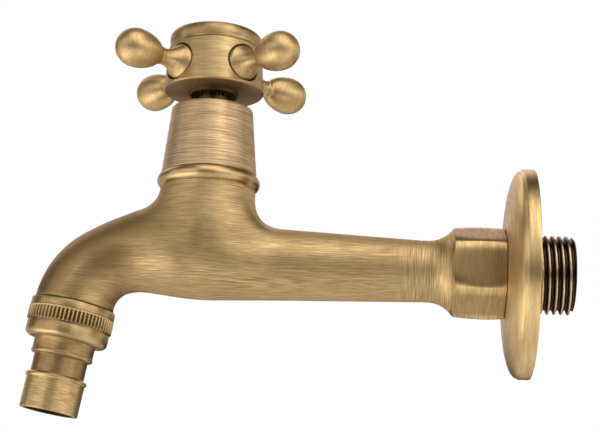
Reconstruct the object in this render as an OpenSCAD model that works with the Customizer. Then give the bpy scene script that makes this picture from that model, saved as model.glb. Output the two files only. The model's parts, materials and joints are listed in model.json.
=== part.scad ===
// Wall-mounted bib tap with a cross handle, a quarter-turn ceramic-disc valve,
// a wall flange and a hose tail held by a knurled union nut.
// The origin is the centre of the inlet in the plane of the wall. +X runs into
// the wall, the spout points along -X and the handle's axis is vertical.

/* [Inlet and wall flange] */
// Outside diameter of the inlet thread
inlet_thread_d = 20.955; // [18:0.005:22]
// Length of the inlet thread behind the wall plane
inlet_len = 11; // [8:0.5:30]
// Diameter of the waterway through the arm
inlet_bore_d = 9; // [6:0.5:10]
// Diameter of the waterway's mouth in the inlet thread
inlet_mouth_d = 13; // [11:0.5:14]
// Depth of the waterway's mouth
inlet_mouth_len = 14; // [8:0.5:16]
// Diameter of the wall flange
flange_d = 56; // [44:1:70]
// Thickness of the wall flange over its crown
flange_t = 7; // [6:0.5:10]
// Width of the straight edge of the flange's rim
flange_rim_t = 3.4; // [2:0.1:5]
// Radial clearance of the flange round the inlet thread
flange_clear = 0.2; // [0.1:0.05:0.5]

/* [Arm and collar] */
// Distance from the wall plane to the vertical axis of the neck
neck_x = 87.6; // [80:0.2:110]
// Diameter of the arm where it meets the flare
arm_d = 16.6; // [15:0.2:20]
// Growth of the arm's radius from the flare to the neck
arm_growth = 2; // [0:0.1:3]
// Rise of the arm's centre line from the flare to the neck
arm_rise = 1; // [0:0.1:2]
// Diameter of the collar at its middle
collar_d = 25.2; // [24:0.2:30]
// Length of the collar
collar_len = 13.2; // [10:0.2:20]
// Radius of the concave flare between the arm and the collar
flare_r = 10; // [8:0.5:12]

/* [Neck] */
// Outside diameter of the neck
neck_d = 25.8; // [25:0.1:30]
// Height of the neck's rim above the inlet's axis
neck_top = 20.8; // [19:0.2:26]
// Depth of the neck's rounded bottom below the inlet's axis
cup_drop = 9.7; // [9:0.1:12]
// Radius of the fillet between the arm and the neck
neck_fillet_r = 7.5; // [5:0.5:8]
// Height of the valve seat above the inlet's axis
seat_z = 6.5; // [6:0.1:7]
// Diameter of the valve chamber
chamber_d = 19.4; // [19:0.1:19.8]
// Diameter of the thread that holds the valve
valve_thread_d = 20.955; // [20:0.005:22]

/* [Spout and outlet] */
// Horizontal distance from the neck's axis to the outlet's shoulder
outlet_reach = 34.4; // [32:0.2:44]
// Depth of the outlet's shoulder below the inlet's axis
outlet_drop = 12; // [11:0.5:20]
// Tilt of the outlet's axis from the vertical
outlet_tilt = 9.5; // [0:0.5:15]
// Diameter of the spout at the outlet's shoulder
spout_end_d = 21.3; // [21.2:0.1:24]
// Height of the spout's section where it leaves the neck
spout_root_h = 27.4; // [26:0.2:28]
// Width of the spout's section where it leaves the neck
spout_root_w = 25.6; // [22:0.2:26]
// Outside diameter of the outlet thread
outlet_thread_d = 20.955; // [18:0.005:21.1]
// Length of the outlet thread
outlet_len = 6.6; // [5:0.2:9]
// Diameter of the waterway through the spout
spout_bore_d = 9; // [6:0.5:10]
// Diameter of the outlet's mouth
outlet_bore_d = 13; // [11:0.5:14]

/* [Valve] */
// Thickness of each ceramic disc
disc_t = 2; // [1.6:0.1:2.4]
// Diameter of the ceramic discs
disc_d = 15; // [14:0.1:15.4]
// Thickness of the seat gasket
gasket_t = 1.2; // [1:0.1:1.5]
// Height of the side windows in the valve housing
window_h = 3.5; // [2:0.1:4]
// Diameter of the spindle
spindle_d = 8; // [7:0.1:8.6]
// Running clearance of the spindle on its radius
spindle_clear = 0.04; // [0.02:0.01:0.08]
// Angle through which the handle turns
valve_turn = 90; // [60:5:100]
// Width across the flats of the valve housing's hexagon
hex_af = 15.5; // [14:0.1:16.5]
// Height of the valve housing's top above the neck's rim
housing_top = 22.4; // [21:0.2:26]

/* [Bead and bonnet] */
// Height of the bead ring
bead_h = 4; // [3:0.1:5]
// How far the bead ring stands out of the neck
bead_bulge = 1.1; // [0.6:0.1:2]
// Height of the bonnet
bonnet_h = 19; // [18:0.2:24]
// Diameter of the bonnet at its foot
bonnet_foot_d = 26; // [25:0.1:30]
// Diameter of the bonnet at its top
bonnet_top_d = 22.2; // [21.4:0.1:25]

/* [Handle] */
// Gap between the bonnet's top and the handle
handle_gap = 4.6; // [3.5:0.1:7]
// Height of the handle's hub
hub_h = 12.6; // [12:0.2:16]
// Diameter of the hub at its foot
hub_foot_d = 27.6; // [26:0.1:34]
// Diameter of the hub at its top
hub_top_d = 25.9; // [25:0.1:30]
// Height of the cap on the hub
cap_h = 4.9; // [4:0.1:7]
// Diameter of the round holes in the hub's side
hub_hole_d = 10.3; // [9:0.1:10.5]
// Clearance between a spoke's base and its hole
spoke_clear = 0.3; // [0.1:0.05:0.4]
// Diameter of a spoke's neck
spoke_neck_d = 4.5; // [4:0.1:6]
// Largest diameter of the ball on a spoke
ball_d = 10.5; // [9:0.1:13]
// Distance from the hub's axis to the widest part of a ball
ball_reach = 27.2; // [26:0.2:34]
// Distance from the hub's axis to a ball's outer tip
tip_reach = 32.8; // [31.6:0.2:42]

/* [Union nut and hose tail] */
// Largest diameter of the union nut
nut_d = 22.9; // [22.8:0.1:26]
// Height of the union nut
nut_h = 10; // [9.6:0.2:14]
// Number of flutes in the nut's knurled band
knurl_count = 64; // [40:1:72]
// Diameter of the tail's upper section
tail_d = 16.3; // [15.6:0.1:17]
// Length of the tail's upper section below the nut
tail_upper_len = 4.2; // [3:0.1:8]
// Diameter of the groove in the tail
tail_groove_d = 14.4; // [14:0.1:14.8]
// Length of the groove in the tail
tail_groove_len = 5.5; // [4:0.1:9]
// Diameter of the barb ring
barb_d = 16.4; // [16:0.1:18]
// Diameter of the tail's end
tail_end_d = 15.6; // [15:0.1:16]
// Length of the tail's end
tail_end_len = 8.4; // [6:0.2:14]
// Diameter of the tail's bore
tail_bore_d = 13; // [11:0.1:13.2]

/* [Hidden] */

$fn = 96;
// Clearance between two threads, taken on the radius
thread_clear = 0.1;
// Clearance between pieces that are put together by hand, on the radius
slip = 0.05;

// Colours
brass = "#a88850";
brass_dark = "#8a6c40";
brass_bright = "#b39a62";
steel = "#b8bcc0";
ceramic = "#ece8dc";
rubber = "#26262a";

// Heights on the neck's axis
gasket_top = seat_z + gasket_t;
fixed_top = gasket_top + disc_t;
disc_gap = 0.02;
moving_z = fixed_top + disc_gap;
moving_top = moving_z + disc_t;
window_z = moving_top + 0.2;
window_top = window_z + window_h;
driver_h = 2;
driver_z = window_top;
thrust_t = 0.6;
thrust_z = driver_z + driver_h;
housing_step = thrust_z + thrust_t + 0.03;
washer_t = 1;
housing_rim = neck_top + washer_t;
housing_top_z = neck_top + housing_top;
bead_top = neck_top + bead_h;
bonnet_top = bead_top + bonnet_h;
hub_z = bonnet_top + handle_gap;
hub_top = hub_z + hub_h;
spoke_z = hub_z + hub_h * 0.49;

// Radii on the neck's axis
neck_r = neck_d / 2;
chamber_r = chamber_d / 2;
disc_r = disc_d / 2;
cavity_r = disc_r + slip;
housing_r = chamber_r - 1;
valve_thread_r = valve_thread_d / 2;
housing_thread_r = valve_thread_r - thread_clear;
housing_rim_r = valve_thread_r + 1.1;
bead_hole_r = housing_rim_r + 0.2;
spindle_r = spindle_d / 2;
spindle_hole_r = spindle_r + spindle_clear;
housing_neck_r = spindle_hole_r + 2.6;

// Turned profiles are [radius, height] lists
function arc_points(cx, cy, r, from, to, steps) = [
    for (i = [0:steps])
        let (a = from + (to - from) * i / steps)
        [cx + r * cos(a), cy + r * sin(a)]
];

module ring(outer_r, inner_r, z0, z1) {
    translate([0, 0, z0]) difference() {
        cylinder(r = outer_r, h = z1 - z0);
        translate([0, 0, -1]) cylinder(r = inner_r, h = z1 - z0 + 2);
    }
}

module sector(r, from, to, h) {
    linear_extrude(height = h) polygon(concat([[0, 0]], arc_points(0, 0, r, from, to, 6)));
}

module on_neck() {
    translate([-neck_x, 0, 0]) children();
}

// The outlet's own axis: local Z = 0 is the spout's shoulder and -Z leaves the spout
module on_outlet() {
    translate([-neck_x - outlet_reach, 0, -outlet_drop]) rotate([0, outlet_tilt, 0]) children();
}

module along_x() {
    rotate([0, 90, 0]) children();
}

// The cast body
function mix(a, b, t) = a + (b - a) * t;
function ease(t) = let (u = min(1, max(0, t))) u * u * (3 - 2 * u);

// Arm and spout are one loft of closed sections: each is [centre, up, above, below, half width]
section_sides = 48;
arm_r = arm_d / 2;
flare_end = flange_t + collar_len + 4;
arm_span = neck_x - flare_end;

function arm_share(d) = 1 - d / arm_span;
function arm_radius(d) = arm_r + arm_growth * arm_share(d);
function arm_centre(d) = arm_rise * arm_share(d);
// The arm's underside is a little flat, and it widens towards the neck, between these two distances
arm_flat = 0.3;
widen_from = neck_r + 8.7;
widen_to = 3.6;
function arm_section(d, lift) =
    let (
        r = arm_radius(d),
        wide = mix(r - arm_flat, spout_root_w / 2, ease((widen_from - d) / (widen_from - widen_to)))
    )
    [[-neck_x + d, arm_centre(d)], [0, 1], r + lift, r - arm_flat, wide];

fillet_steps = 7;
arm_stations = concat(
    [for (d = [arm_span, neck_r + neck_fillet_r + 0.5]) arm_section(d, 0)],
    [for (i = [1:fillet_steps])
        let (a = 80 * i / fillet_steps, d = neck_r + neck_fillet_r * (1 - sin(a)))
        arm_section(d, neck_fillet_r * (1 - cos(a)))],
    [for (d = [0.85, 0.7, 0.5, 0.2]) arm_section(neck_r * d, neck_fillet_r * 0.85)]
);

// The spout's centre line is one cubic curve from the neck to the outlet's shoulder
spout_lift = 4.2;
spout_rise = 0.4;
spout_pull = 19.4;
spout_turn = 13;
spout_curve = [
    [-neck_x, spout_lift],
    [-neck_x - spout_pull, spout_lift + spout_rise],
    [-neck_x - outlet_reach + spout_turn * sin(outlet_tilt), -outlet_drop + spout_turn * cos(outlet_tilt)],
    [-neck_x - outlet_reach, -outlet_drop]
];
// How much of the root's extra height is left on the way down, with a slight waist in the bend
spout_waist = [
    [0, 1], [0.12, 0.82], [0.25, 0.46], [0.4, -0.02],
    [0.55, -0.24], [0.7, -0.17], [0.85, -0.09], [1, 0]
];
function curve_point(q, t) =
    pow(1 - t, 3) * q[0] + 3 * pow(1 - t, 2) * t * q[1] + 3 * (1 - t) * t * t * q[2] + pow(t, 3) * q[3];
function curve_slope(q, t) =
    pow(1 - t, 2) * (q[1] - q[0]) + 2 * (1 - t) * t * (q[2] - q[1]) + t * t * (q[3] - q[2]);
function spout_section(t) =
    let (
        slope = curve_slope(spout_curve, t),
        dir = slope / norm(slope),
        half_h = mix(spout_end_d, spout_root_h, lookup(t, spout_waist)) / 2,
        half_w = mix(spout_end_d, spout_root_w, pow(1 - t, 1.9)) / 2,
        lift = 1.2 * pow(max(0, 1 - t / 0.3), 2)
    )
    [curve_point(spout_curve, t), [dir.y, -dir.x], half_h + lift, half_h, half_w];

spout_steps = 21;
spout_stations = [for (i = [1:spout_steps]) spout_section(i / spout_steps)];

function section_ring(s) = [
    for (j = [0:section_sides - 1])
        let (a = 360 * j / section_sides, h = (sin(a) > 0 ? s[2] : s[3]) * sin(a))
        [s[0].x + s[1].x * h, s[4] * cos(a), s[0].y + s[1].y * h]
];

module loft(stations) {
    n = section_sides;
    last = len(stations) - 1;
    points = [for (s = stations) each section_ring(s)];
    walls = [
        for (i = [0:last - 1], j = [0:n - 1])
            let (a = i * n + j, b = i * n + (j + 1) % n, c = a + n, e = b + n)
            each [[a, b, c], [b, e, c]]
    ];
    ends = [[for (j = [n - 1:-1:0]) j], [for (j = [0:n - 1]) last * n + j]];
    polyhedron(points = points, faces = concat(walls, ends), convexity = 4);
}

module neck_cup() {
    foot_z = 1.5;
    depth = foot_z + cup_drop;
    rotate_extrude() polygon(concat(
        [[0, neck_top], [0, -cup_drop]],
        [for (i = [1:9]) let (a = 10 * i) [neck_r * sin(a), foot_z - depth * cos(a)]],
        [[neck_r, neck_top]]
    ));
}

// Flare, collar and inlet thread, turned about the X axis
inlet_thread_r = inlet_thread_d / 2;
collar_r = collar_d / 2;
collar_front = flange_t + collar_len;
flare_foot_r = arm_r - 0.3;
flare_lip_r = collar_r - 0.6;
flare_angle = acos(1 - (flare_lip_r - flare_foot_r) / flare_r);
flare_start = collar_front + 0.4 + flare_r * sin(flare_angle);
shank_r = inlet_thread_r - 0.6;
thread_start = 2;
inlet_chamfer = 0.8;
barrel_sag = 0.45;
collar_mid = flange_t + collar_len / 2;
barrel_r = (pow(collar_len / 2, 2) + pow(barrel_sag, 2)) / (2 * barrel_sag);
barrel_angle = asin(collar_len / 2 / barrel_r);

// A profile drawn with its height along -X
module turned_on_x(points) {
    rotate([0, -90, 0]) rotate_extrude() polygon(points);
}

module inlet_end() {
    turned_on_x(concat(
        [[0, -inlet_len], [inlet_thread_r - inlet_chamfer, -inlet_len]],
        [[inlet_thread_r, -inlet_len + inlet_chamfer], [inlet_thread_r, thread_start]],
        [[shank_r, thread_start + 0.6], [shank_r, flange_t]],
        [[collar_r - barrel_sag - 0.5, flange_t]],
        arc_points(collar_r - barrel_r, collar_mid, barrel_r, -barrel_angle * 0.94, barrel_angle, 8),
        arc_points(flare_foot_r + flare_r, flare_start, flare_r, 180 + flare_angle, 180, 10),
        [[0, flare_start]]
    ));
}

// Waterways
inlet_bore_r = inlet_bore_d / 2;
riser_r = inlet_bore_r + 0.5;
spout_bore_r = spout_bore_d / 2;
outlet_bore_r = outlet_bore_d / 2;
outlet_thread_r = outlet_thread_d / 2;
// The slanted waterway runs from the chamber's wall to this height above the shoulder
elbow_h = 8.2;
slant_from = [-neck_x - chamber_r + 3.3, seat_z + 7.5];
slant_to = [
    -neck_x - outlet_reach + elbow_h * sin(outlet_tilt),
    -outlet_drop + elbow_h * cos(outlet_tilt)
];
slant = slant_to - slant_from;

module waterways() {
    translate([-neck_x - 3, 0, 0]) along_x() cylinder(r = inlet_bore_r, h = neck_x + 3 + inlet_len);
    translate([inlet_len - inlet_mouth_len, 0, 0]) along_x()
        cylinder(d = inlet_mouth_d, h = inlet_mouth_len + 1);
    on_neck() {
        translate([0, 0, -3]) cylinder(r = riser_r, h = seat_z + 4);
        translate([0, 0, seat_z]) cylinder(r = chamber_r, h = neck_top - seat_z + 1);
        translate([0, 0, window_top + 0.3]) cylinder(r = valve_thread_r, h = neck_top);
    }
    translate([slant_from.x, 0, slant_from.y]) rotate([0, atan2(slant.x, slant.y), 0])
        cylinder(r = spout_bore_r, h = norm(slant) + 2);
    on_outlet() {
        translate([0, 0, -outlet_len - 1]) cylinder(r = outlet_bore_r, h = outlet_len + 1);
        translate([0, 0, -1]) cylinder(r = spout_bore_r + 0.6, h = elbow_h + 3.4);
    }
}

module body() {
    color(brass) difference() {
        union() {
            loft(concat(arm_stations, spout_stations));
            on_neck() neck_cup();
            inlet_end();
            on_outlet() translate([0, 0, -outlet_len]) cylinder(r = outlet_thread_r, h = outlet_len + 2);
        }
        waterways();
    }
}

// The wall flange is a domed cup, open towards the wall
flange_r = flange_d / 2;
flange_wall = 2.4;
flange_hole_r = inlet_thread_r + flange_clear;
flange_seat_r = collar_r + 1;
flange_web = 3;

module wall_flange() {
    dome_h = flange_t - flange_rim_t;
    dome_w = flange_r - 0.4 - flange_seat_r;
    color(brass) turned_on_x(concat(
        [[flange_hole_r, flange_t - flange_web], [flange_hole_r, flange_t], [flange_seat_r, flange_t]],
        [for (i = [1:11]) let (a = 90 - 90 * i / 12)
            [flange_seat_r + dome_w * cos(a), flange_rim_t + dome_h * sin(a)]],
        [[flange_r, flange_rim_t - 0.4], [flange_r, 0.3], [flange_r - 0.3, 0]],
        [[flange_r - flange_wall, 0], [flange_r - flange_wall, flange_t - flange_web - 1.6]],
        [[flange_r - flange_wall - 3.5, flange_t - flange_web]]
    ));
}

module bead_ring() {
    foot_r = neck_r - 0.05;
    sag = bead_bulge + 0.05;
    round_r = (pow(bead_h / 2, 2) + pow(sag, 2)) / (2 * sag);
    half = asin(min(1, bead_h / 2 / round_r));
    color(brass_bright) on_neck() rotate_extrude() polygon(concat(
        [[bead_hole_r, neck_top]],
        arc_points(foot_r + sag - round_r, neck_top + bead_h / 2, round_r, -half, half, 10),
        [[bead_hole_r, bead_top]]
    ));
}

bonnet_thread_r = housing_rim_r - 1.2;
bonnet_thread_h = 4;
bonnet_wall = 1.4;
bonnet_roof = 2;
bonnet_round = 0.8;

module bonnet() {
    foot_r = bonnet_foot_d / 2;
    top_r = bonnet_top_d / 2;
    roof_z = bonnet_top - bonnet_roof;
    bore_r = top_r - bonnet_wall + 0.2;
    color(brass) on_neck() rotate_extrude() polygon(concat(
        [[bonnet_thread_r + thread_clear, bead_top], [foot_r - 0.2, bead_top], [foot_r, bead_top + 0.3]],
        arc_points(top_r - bonnet_round, bonnet_top - bonnet_round, bonnet_round, 0, 90, 5),
        [[housing_neck_r + 0.3, bonnet_top], [housing_neck_r + 0.3, roof_z], [bore_r, roof_z]],
        [[bore_r, bead_top + bonnet_thread_h + 0.6]],
        [[bonnet_thread_r + thread_clear, bead_top + bonnet_thread_h]]
    ));
}

// The valve
port_share = 80;
port_in = 2.5;
port_out = disc_r - 1.1;

module disc_ports(h) {
    for (a = [0, 180]) rotate([0, 0, a]) difference() {
        sector(port_out * 1.3, -port_share / 2, port_share / 2, h);
        translate([0, 0, -1]) cylinder(r = port_in, h = h + 2);
        translate([0, 0, -1]) difference() {
            cylinder(r = port_out * 2, h = h + 2);
            cylinder(r = port_out, h = h + 2);
        }
    }
}

// The stop: a lug in the housing runs in a gap in the spindle's driver
stop_lug = 30;
stop_play = 2;
stop_free = stop_lug / 2 + stop_play;
stop_r = disc_r - 2.2;
driver_r = disc_r - 0.6;
tang_reach = stop_r - 0.1;

module valve_housing() {
    hex_z = bead_top + bonnet_thread_h - 0.3;
    hex_h = 5;
    color(brass_dark) on_neck() difference() {
        union() {
            translate([0, 0, gasket_top]) cylinder(r = housing_r, h = window_top + 1 - gasket_top);
            translate([0, 0, window_top + 0.6])
                cylinder(r = housing_thread_r, h = housing_rim - window_top - 0.6);
            translate([0, 0, housing_rim]) cylinder(r = housing_rim_r, h = 1.8);
            translate([0, 0, housing_rim]) cylinder(r = bonnet_thread_r, h = hex_z - housing_rim);
            translate([0, 0, hex_z]) cylinder(d = hex_af / cos(30), h = hex_h, $fn = 6);
            translate([0, 0, hex_z]) cylinder(r = housing_neck_r, h = housing_top_z - hex_z);
        }
        difference() {
            translate([0, 0, seat_z]) cylinder(r = cavity_r, h = housing_step - seat_z);
            difference() {
                translate([0, 0, driver_z])
                    sector(cavity_r * 1.2, -stop_lug / 2, stop_lug / 2, housing_step);
                cylinder(r = stop_r + 0.15, h = housing_top_z);
            }
        }
        translate([0, 0, seat_z]) cylinder(r = spindle_hole_r, h = housing_top_z);
        for (a = [45, 135, 225, 315]) rotate([0, 0, a])
            translate([0, -3, window_z]) cube([chamber_d, 6, window_h]);
    }
}

module body_washer() {
    color(rubber) on_neck() ring(housing_rim_r, housing_thread_r + 0.15, neck_top, housing_rim);
}

module seat_gasket() {
    color(rubber) on_neck() ring(housing_r, riser_r + 0.3, seat_z, gasket_top);
}

module fixed_disc() {
    color(ceramic) on_neck() translate([0, 0, gasket_top]) difference() {
        cylinder(r = disc_r, h = disc_t);
        translate([0, 0, -1]) disc_ports(disc_t + 2);
    }
}

tang_w = 3.2;
tang_depth = 1;

// Closed at rest: its solid quarters lie over the ports of the fixed disc
module moving_disc() {
    color(ceramic) on_neck() translate([0, 0, moving_z]) difference() {
        cylinder(r = disc_r - 0.1, h = disc_t);
        rotate([0, 0, 90]) translate([0, 0, -1]) disc_ports(disc_t + 2);
        translate([-disc_r, -tang_w / 2 - slip, disc_t - tang_depth - slip])
            cube([disc_d, tang_w + 2 * slip, disc_t]);
    }
}

// The spindle, from the tang that turns the disc to the splined end
spline_teeth = 20;
spline_r = spindle_r - 0.35;
spline_depth = 0.25;
spline_z = hub_z - 1.4;
spline_top = hub_z + 6;
screw_r = 2;
ring_z = [neck_top + 4, neck_top + 8];
ring_w = 0.92;
circlip_t = 0.8;
circlip_z = housing_top_z + 0.15;

function spline_points(extra) = [
    for (i = [0:spline_teeth * 4 - 1])
        let (r = spline_r + extra + (i % 4 < 2 ? spline_depth : -spline_depth), a = 90 * i / spline_teeth)
        [r * cos(a), r * sin(a)]
];

module spindle() {
    color(brass_dark) on_neck() difference() {
        union() {
            translate([-tang_reach, -tang_w / 2, moving_top - tang_depth])
                cube([2 * tang_reach, tang_w, driver_z - moving_top + tang_depth + 0.5]);
            difference() {
                translate([0, 0, driver_z]) cylinder(r = driver_r, h = driver_h);
                difference() {
                    translate([0, 0, driver_z - 1])
                        sector(disc_d, -valve_turn - stop_free, stop_free, driver_h + 2);
                    cylinder(r = stop_r, h = hub_z);
                }
            }
            translate([0, 0, driver_z]) cylinder(r = spindle_r, h = spline_z - driver_z);
            translate([0, 0, spline_z - 1]) linear_extrude(height = spline_top - spline_z + 1)
                polygon(spline_points(0));
        }
        for (z = ring_z) ring(spindle_d, spindle_hole_r - ring_w - 0.02, z - 0.65, z + 0.65);
        ring(spindle_d, spindle_r - 0.7, circlip_z - 0.02, circlip_z + circlip_t + 0.02);
        translate([0, 0, spline_top - 6]) cylinder(r = screw_r, h = 7);
    }
}

module spindle_ring(z) {
    color(rubber) on_neck() translate([0, 0, z]) rotate_extrude()
        translate([spindle_hole_r - 0.01 - ring_w / 2, 0]) circle(r = ring_w / 2);
}

module spindle_ring_low() {
    spindle_ring(ring_z[0]);
}

module spindle_ring_high() {
    spindle_ring(ring_z[1]);
}

module thrust_washer() {
    color(brass_bright) on_neck() ring(stop_r, spindle_r + slip, thrust_z, thrust_z + thrust_t);
}

module circlip() {
    color(steel) on_neck() difference() {
        ring(housing_neck_r - 0.8, spindle_r - 0.65, circlip_z, circlip_z + circlip_t);
        translate([0, 0, circlip_z - 1]) sector(spindle_d * 2, -35, 35, circlip_t + 2);
    }
}

// The handle
hub_foot_r = hub_foot_d / 2;
hub_top_r = hub_top_d / 2;
hub_wall = 2.4;
hub_bore_r = hub_top_r - hub_wall + 0.4;
hub_floor = 2;
boss_r = 6.8;
boss_drop = 0.8;
boss_wall = 0.6;
boss_recess = 1.2;
core_flat = boss_r + 1.2;
core_top = hub_top - 1.5;
web_z = spline_top + 0.4;
screw_head_r = 3.6;
screw_head_h = 1.8;
spoke_hole_r = 2;
spoke_angles = [225, 315, 45, 135];

module spoke_places() {
    for (a = spoke_angles) translate([0, 0, spoke_z]) rotate([0, 0, a]) rotate([0, 90, 0]) children();
}

module hub_shell() {
    color(brass) on_neck() difference() {
        rotate_extrude() polygon([
            [boss_r + slip, hub_z], [hub_foot_r - 0.6, hub_z], [hub_foot_r, hub_z + 0.7],
            [hub_top_r, hub_top - 0.4], [hub_top_r - 0.4, hub_top], [hub_bore_r, hub_top],
            [hub_bore_r, hub_z + hub_floor], [boss_r + slip, hub_z + hub_floor]
        ]);
        spoke_places() cylinder(d = hub_hole_d, h = hub_foot_d);
    }
}

module hub_core() {
    color(brass_dark) on_neck() difference() {
        union() {
            translate([0, 0, hub_z - boss_drop]) cylinder(r = boss_r, h = hub_floor + boss_drop + 1);
            intersection() {
                translate([0, 0, hub_z + hub_floor])
                    cylinder(r = core_flat + 1.6, h = core_top - hub_z - hub_floor);
                rotate([0, 0, 45]) translate([-core_flat, -core_flat, hub_z])
                    cube([2 * core_flat, 2 * core_flat, core_top]);
            }
            translate([0, 0, core_top - 1.4]) cylinder(r = hub_bore_r - slip, h = 1.4);
        }
        translate([0, 0, hub_z - boss_drop - 1]) linear_extrude(height = web_z - hub_z + boss_drop + 1)
            polygon(spline_points(slip));
        translate([0, 0, hub_z - boss_drop - 1])
            cylinder(r = boss_r - boss_wall, h = boss_drop + 1 + boss_recess);
        cylinder(r = screw_r + 0.15, h = hub_top);
        translate([0, 0, web_z + 2]) cylinder(r = screw_head_r + 0.4, h = hub_h);
        spoke_places() cylinder(r = spoke_hole_r + slip, h = hub_foot_d);
        spoke_places() translate([0, 0, core_flat]) cylinder(r = spoke_plug_r + slip, h = hub_foot_d);
    }
}

module handle_screw() {
    head_z = web_z + 2;
    color(steel) on_neck() difference() {
        union() {
            translate([0, 0, spline_top - 5]) cylinder(r = screw_r - slip, h = head_z - spline_top + 5.5);
            translate([0, 0, head_z]) cylinder(r = screw_head_r, h = screw_head_h);
        }
        translate([-spindle_d, -0.5, head_z + screw_head_h - 0.8]) cube([2 * spindle_d, 1, 2]);
    }
}

module hub_cap() {
    rim_r = hub_top_r - 0.15;
    round_r = 2.2;
    spigot_r = hub_bore_r - slip;
    top_z = hub_top + cap_h;
    color(brass) on_neck() rotate_extrude() polygon(concat(
        [[0, hub_top - 1.2], [spigot_r, hub_top - 1.2], [spigot_r, hub_top]],
        [[rim_r - 0.3, hub_top], [rim_r, hub_top + 0.3]],
        arc_points(rim_r - round_r, top_z - round_r, round_r, 0, 90, 6),
        [[0, top_z]]
    ));
}

// One turned spoke: stud, plug in the hub's hole, trumpet, seam ring and egg-shaped ball
spoke_plug_r = hub_hole_d / 2 - spoke_clear;
spoke_neck_r = spoke_neck_d / 2;
stud_from = spindle_r + 0.9;
trumpet_from = hub_foot_r - 0.6;
seam_from = trumpet_from + 5.6;
seam_w = 0.8;

module spoke(angle) {
    ball_r = ball_d / 2;
    back = (ball_reach - seam_from - seam_w) * 1.06;
    front = tip_reach - ball_reach;
    trumpet = seam_from - trumpet_from;
    color(brass_bright) on_neck() translate([0, 0, spoke_z]) rotate([0, 0, angle]) rotate([0, 90, 0])
        rotate_extrude() polygon(concat(
            [[0, stud_from], [spoke_hole_r, stud_from], [spoke_hole_r, core_flat], [spoke_plug_r, core_flat]],
            [for (i = [0:8])
                let (t = i / 8)
                [mix(spoke_neck_r, spoke_plug_r, pow(1 - t, 2.6)), trumpet_from + trumpet * t]],
            [[spoke_neck_r + 0.3, seam_from + 0.1], [spoke_neck_r + 0.3, seam_from + seam_w - 0.1]],
            [for (i = [1:9]) let (a = 20 + 70 * i / 9) [ball_r * sin(a), ball_reach - back * cos(a)]],
            [for (i = [1:7]) let (a = 90 - 90 * i / 8) [ball_r * sin(a), ball_reach + front * cos(a)]],
            [[0, tip_reach]]
        ));
}

module spoke_left_front() {
    spoke(spoke_angles[0]);
}

module spoke_right_front() {
    spoke(spoke_angles[1]);
}

module spoke_right_back() {
    spoke(spoke_angles[2]);
}

module spoke_left_back() {
    spoke(spoke_angles[3]);
}

// Union nut and hose tail, on the outlet's axis
nut_r = nut_d / 2;
nut_gap = 0.3;
tail_clear = 0.08;
nut_bore_r = outlet_thread_r + thread_clear;
tail_r = tail_d / 2;
tail_washer_t = 1.4;
tail_flange_z = -outlet_len - tail_washer_t;
tail_flange_t = 1;
nut_seat_z = tail_flange_z - tail_flange_t;
nut_foot_z = -nut_gap - nut_h;
tail_flange_r = nut_bore_r - 0.3;
tail_bore_r = tail_bore_d / 2;
tail_neck_bore_r = tail_groove_d / 2 - 1.6;
band_z = -nut_gap - 2;
band_h = 3.7;
groove_h = 0.5;
nut_round = 2.1;
nut_plain_r = nut_r - 0.15;
nut_groove_r = nut_r - 0.5;
nut_foot_r = nut_r - 0.35;
flute_r = 0.5;
flute_depth = 0.3;

module union_nut() {
    color(brass) on_outlet() difference() {
        rotate_extrude() polygon(concat(
            [[tail_r + tail_clear, nut_foot_z], [tail_r + tail_clear, nut_seat_z]],
            [[nut_bore_r, nut_seat_z], [nut_bore_r, -nut_gap]],
            [[nut_plain_r - 0.2, -nut_gap], [nut_plain_r, -nut_gap - 0.2], [nut_plain_r, band_z]],
            [[nut_r, band_z - 0.2], [nut_r, band_z - band_h], [nut_groove_r, band_z - band_h - 0.15]],
            [[nut_groove_r, band_z - band_h - groove_h], [nut_foot_r, band_z - band_h - groove_h - 0.1]],
            arc_points(nut_foot_r - nut_round, nut_foot_z + nut_round, nut_round, 0, -80, 8)
        ));
        for (i = [0:knurl_count - 1]) rotate([0, 0, 360 * i / knurl_count])
            translate([nut_r + flute_r - flute_depth, 0, band_z - band_h + 0.3])
                cylinder(r = flute_r, h = band_h - 0.7);
    }
}

module hose_tail() {
    upper_z = nut_foot_z - tail_upper_len;
    groove_z = upper_z - tail_groove_len;
    end_z = groove_z - 1 - tail_end_len;
    tail_end_r = tail_end_d / 2;
    color(brass) on_outlet() rotate_extrude() polygon([
        [tail_neck_bore_r, tail_flange_z], [tail_flange_r, tail_flange_z], [tail_flange_r, nut_seat_z],
        [tail_r, nut_seat_z], [tail_r, upper_z + 0.9], [tail_r + 0.15, upper_z + 0.6],
        [tail_r + 0.15, upper_z + 0.2], [tail_r - 0.2, upper_z - 0.2], [tail_groove_d / 2, upper_z - 0.3],
        [tail_groove_d / 2, groove_z + 0.3], [barb_d / 2 - 0.2, groove_z], [barb_d / 2, groove_z - 0.3],
        [barb_d / 2, groove_z - 0.6], [barb_d / 2 - 0.2, groove_z - 0.9], [tail_end_r, groove_z - 1],
        [tail_end_r, end_z + 0.3], [tail_end_r - 0.3, end_z], [tail_bore_r, end_z],
        [tail_bore_r, upper_z - 1.5], [tail_neck_bore_r, upper_z - 0.3]
    ]);
}

module tail_washer() {
    color(rubber) on_outlet() ring(tail_flange_r - 0.4, tail_neck_bore_r + 0.2, tail_flange_z, -outlet_len);
}

body();
wall_flange();
bead_ring();
bonnet();
valve_housing();
body_washer();
seat_gasket();
fixed_disc();
moving_disc();
spindle();
spindle_ring_low();
spindle_ring_high();
thrust_washer();
circlip();
hub_shell();
hub_core();
handle_screw();
hub_cap();
spoke_left_front();
spoke_right_front();
spoke_right_back();
spoke_left_back();
union_nut();
hose_tail();
tail_washer();
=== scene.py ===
import json
import math

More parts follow.
